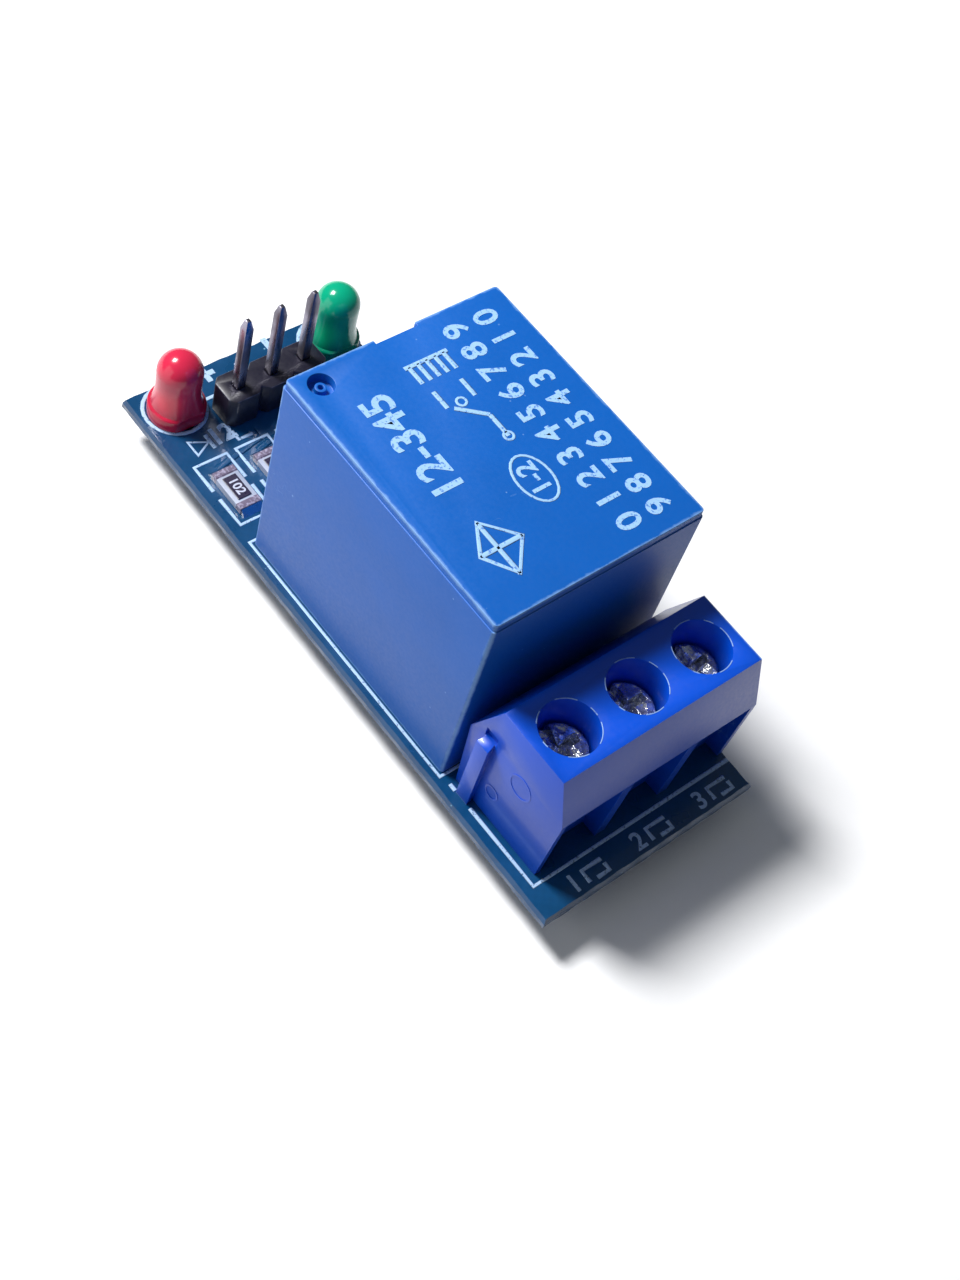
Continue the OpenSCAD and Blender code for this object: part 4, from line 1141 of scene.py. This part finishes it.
@dataclass
class Lamps:
    """The red and the green lamp."""

    shop: Workshop
    flange_out: float = 0.4 * MM
    flange_h: float = 1.0 * MM

    def build(self) -> None:
        """Makes both lenses and dresses what is inside them."""
        # The last colour of each lens is its painted glow, a painted spot of light inside the lens.
        self.lens("red_lens", "red_epoxy", srgb(206, 40, 72), srgb(168, 18, 52), srgb(255, 62, 84))
        self.lens("green_lens", "green_epoxy", srgb(0, 158, 118), srgb(0, 112, 84), srgb(20, 205, 135))
        self.shop.dress(DIE, "red_chip", "green_chip")
        self.shop.dress(LEAD, "red_anode", "red_cathode", "green_anode", "green_cathode")

    def lens(self, node: str, slot: str, colour: tuple, deep: tuple, glow: tuple) -> None:
        """A smooth lens with a rounded flange."""
        low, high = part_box(node)
        finish = Epoxy(slot, colour, 0.2, coat=0.2, shine=0.4, low=tuple(low), high=tuple(high),
                       deep=deep, glow=glow)
        piece = self.spun(node + "_dressed", low, high)
        self.shop.hand_over(piece, slot, finish, node=node)

    def spun(self, name: str, low: Sequence[float], high: Sequence[float]) -> bpy.types.Object:
        """A closed lens turned from its profile, with a fillet above the flange and the flange's flat.

        Args:
            name: The piece's name.
            low: The lens's lowest corner.
            high: Its highest corner.

        Returns:
            The new piece.
        """
        reach = (high[1] - low[1]) / 2
        radius = reach - self.flange_out
        y, x = low[1] + reach, low[0] + reach
        rim = self.flange_h
        tall = high[2] - low[2]
        fillet = 0.22 * MM
        profile = [(reach - 0.08 * MM, 0.0), (reach, 0.08 * MM), (reach, rim - 0.12 * MM),
                   (reach - 0.05 * MM, rim - 0.03 * MM), (reach - 0.12 * MM, rim)]
        sweep = arc(0, 0, fillet, 0, 90, 5)[::-1]
        profile += [(radius + fillet - px, rim + fillet - pz) for pz, px in sweep]
        shoulder = tall - radius
        profile += [(radius - 0.02 * MM * (1 - n / 3), rim + (shoulder - rim) * n / 3) for n in (1, 2)]
        profile += arc(0, shoulder, radius, 0, 88, 18)
        profile.append((0.0, tall))
        mesh = bpy.data.meshes.new(name)
        points = [(0.0, 0.0, 0.0)] + [(px, 0.0, pz) for px, pz in profile]
        mesh.from_pydata(points, [(n, n + 1) for n in range(len(points) - 1)], [])
        piece = bpy.data.objects.new(name, mesh)
        bpy.context.scene.collection.objects.link(piece)
        Bench.finish_modifier(piece, "SCREW", steps=64, render_steps=64, use_merge_vertices=True,
                              merge_threshold=0.001 * MM, angle=math.tau, axis="Z")
        Bench.pick(piece)
        bpy.ops.object.mode_set(mode="EDIT")
        bpy.ops.mesh.select_all(action="SELECT")
        bpy.ops.mesh.remove_doubles(threshold=0.002 * MM)
        bpy.ops.mesh.normals_make_consistent(inside=False)
        bpy.ops.object.mode_set(mode="OBJECT")
        for vertex in piece.data.vertices:
            if vertex.co.z < rim + 0.5 * fillet:
                vertex.co.x = min(vertex.co.x, high[0] - x)
        piece.location = (x, y, low[2])
        Bench.settle(piece, name)
        Bench.smooth(piece, 40)
        return piece


@dataclass
class SmallParts:
    """The header, the chip resistors, the transistor, the diode and the solder."""

    shop: Workshop

    def build(self) -> None:
        """Makes and dresses every small part."""
        self.shop.rounded("header_body", "black_plastic", BLACK_PLASTIC, 0.12 * MM)
        for number in (1, 2, 3):
            self.shop.rounded(f"header_pin_{number}", "tinned_pin", TINNED, 0.06 * MM)
            self.resistor(number)
        self.shop.rounded("transistor_body", "black_plastic", BLACK_PLASTIC, 0.1 * MM)
        self.shop.dress(LEAD, "transistor_leads", "diode_caps")
        self.shop.dress(GLASS, "diode_glass")
        self.shop.dress(BRIGHT_SOLDER, "header_solder", "lamp_solder", "relay_solder", "terminal_solder",
                        "chip_solder")

    def resistor(self, number: int) -> None:
        """A chip with tinned ends, a dark glazed window and plain figures on it."""
        node = f"resistor_{number}"
        low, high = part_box(node)
        middle = [(a + b) / 2 for a, b in zip(low, high)]
        ceramic = ChipBody(f"chip_{number}", srgb(176, 184, 204), 0.42, 0.0, middle=middle[0])
        self.shop.rounded(node, "resistor_dark", ceramic, 0.09 * MM, 3)
        window = Bench.block(f"resistor_window_{number}",
                             (low[0] + 0.68 * MM, low[1] + 0.3 * MM, high[2] - 0.02 * MM),
                             (high[0] - 0.68 * MM, high[1] - 0.3 * MM, high[2] + 0.03 * MM))
        Bench.bevel(window, 0.025 * MM)
        glaze = Moulded("resistor_glaze", srgb(44, 38, 62), 0.3, rubbed=srgb(120, 120, 150))
        self.shop.hand_over(window, "resistor_dark", self.shop.fitted(glaze, node))
        figures = Bench.numeral(f"resistor_figures_{number}", "102", (middle[0], middle[1]), 0.62 * MM,
                                high[2] + 0.03 * MM, 0, 0.012 * MM)
        self.shop.hand_over(figures, "resistor_dark",
                            Ink("resistor_ink", srgb(200, 205, 225), 0.5, ground=glaze.colour, missing=0.3))


@dataclass
class Studio:
    """The pale floor, the soft lamps, the white surround and the camera."""

    focal: float = 52.97
    place: Triple = (0.04289, -0.05512, 0.09757)
    right: Triple = (0.6107, 0.7654, 0.2029)
    down: Triple = (0.7207, -0.4311, -0.5429)
    forward: Triple = (-0.328, 0.4778, -0.8149)

    def build(self) -> None:
        """Sets up everything round the object."""
        self.floor()
        self.surround()
        self.lamp("key_lamp", (-0.165, -0.062, 0.25), 0.075, 1.3)
        self.lamp("fill_lamp", (-0.07, -0.27, 0.10), 0.22, 0.22)
        self.camera()

    def floor(self) -> None:
        """A wide pale sheet under the leads, with a fine grain."""
        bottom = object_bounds()[0][2]
        piece = Bench.block("floor", (-0.6, -0.6, bottom - 0.002), (0.6, 0.6, bottom))
        Bench.bevel(piece, 0.0005)
        material = bpy.data.materials.new("paper")
        material.use_nodes = True
        tree = Tree(material.node_tree)
        shader = material.node_tree.nodes["Principled BSDF"]
        shader.inputs["Roughness"].default_value = 0.9
        path = tree.add("ShaderNodeLightPath")
        seen = tree.math("MAXIMUM", path.outputs["Is Camera Ray"], path.outputs["Is Glossy Ray"])
        fibre = tree.noise(tree.add("ShaderNodeTexCoord").outputs["Object"], 900.0)
        white = tree.mix(fibre, srgb(255, 255, 255), srgb(251, 251, 252))
        tree.feed(shader.inputs["Base Color"], tree.mix(seen, srgb(150, 156, 166), white))
        piece.data.materials.append(material)
        piece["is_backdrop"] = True

    def surround(self) -> None:
        """A white world to the camera and a soft grey one as light."""
        world = bpy.data.worlds.new("surround")
        bpy.context.scene.world = world
        world.use_nodes = True
        tree = Tree(world.node_tree)
        ground = world.node_tree.nodes["Background"]
        path = tree.add("ShaderNodeLightPath")
        seen = tree.math("MAXIMUM", path.outputs["Is Camera Ray"], path.outputs["Is Transmission Ray"])
        tree.feed(ground.inputs["Color"], tree.mix(seen, srgb(205, 214, 226), (1.0, 1.0, 1.0, 1.0)))
        tree.feed(ground.inputs["Strength"], tree.span(seen, 0.0, 1.0, 0.17, 1.0))

    def lamp(self, name: str, place: Triple, size: float, power: float) -> None:
        """A square soft lamp that looks at the object's middle."""
        data = bpy.data.lights.new(name, "AREA")
        data.energy = power
        data.size = size
        lamp = bpy.data.objects.new(name, data)
        bpy.context.scene.collection.objects.link(lamp)
        lamp.location = place
        aim = Vector((0.0, 0.0, 0.008)) - Vector(place)
        lamp.rotation_euler = aim.to_track_quat("-Z", "Y").to_euler()

    def camera(self) -> None:
        """The camera that looks down along the board from the terminal's near corner."""
        data = bpy.data.cameras.new("camera")
        data.lens = self.focal
        data.sensor_width = 36
        data.clip_start = 0.001
        camera = bpy.data.objects.new("camera", data)
        bpy.context.scene.collection.objects.link(camera)
        up, back = [-part for part in self.down], [-part for part in self.forward]
        turn = Matrix((self.right, up, back)).transposed()
        camera.matrix_world = Matrix.Translation(self.place) @ turn.to_4x4()
        bpy.context.scene.camera = camera
        bpy.context.scene.view_settings.view_transform = "Standard"


def main() -> None:
    """Builds every sub-assembly in order, then the studio."""
    logging.basicConfig(level=logging.INFO, format="%(message)s")
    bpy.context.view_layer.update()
    shop = Workshop()
    for assembly in (CircuitBoard, Relay, TerminalBlock, Lamps, SmallParts):
        LOG.info("Building %s", assembly.__name__)
        assembly(shop).build()
    Studio().build()


if __name__ == "__main__":
    main()
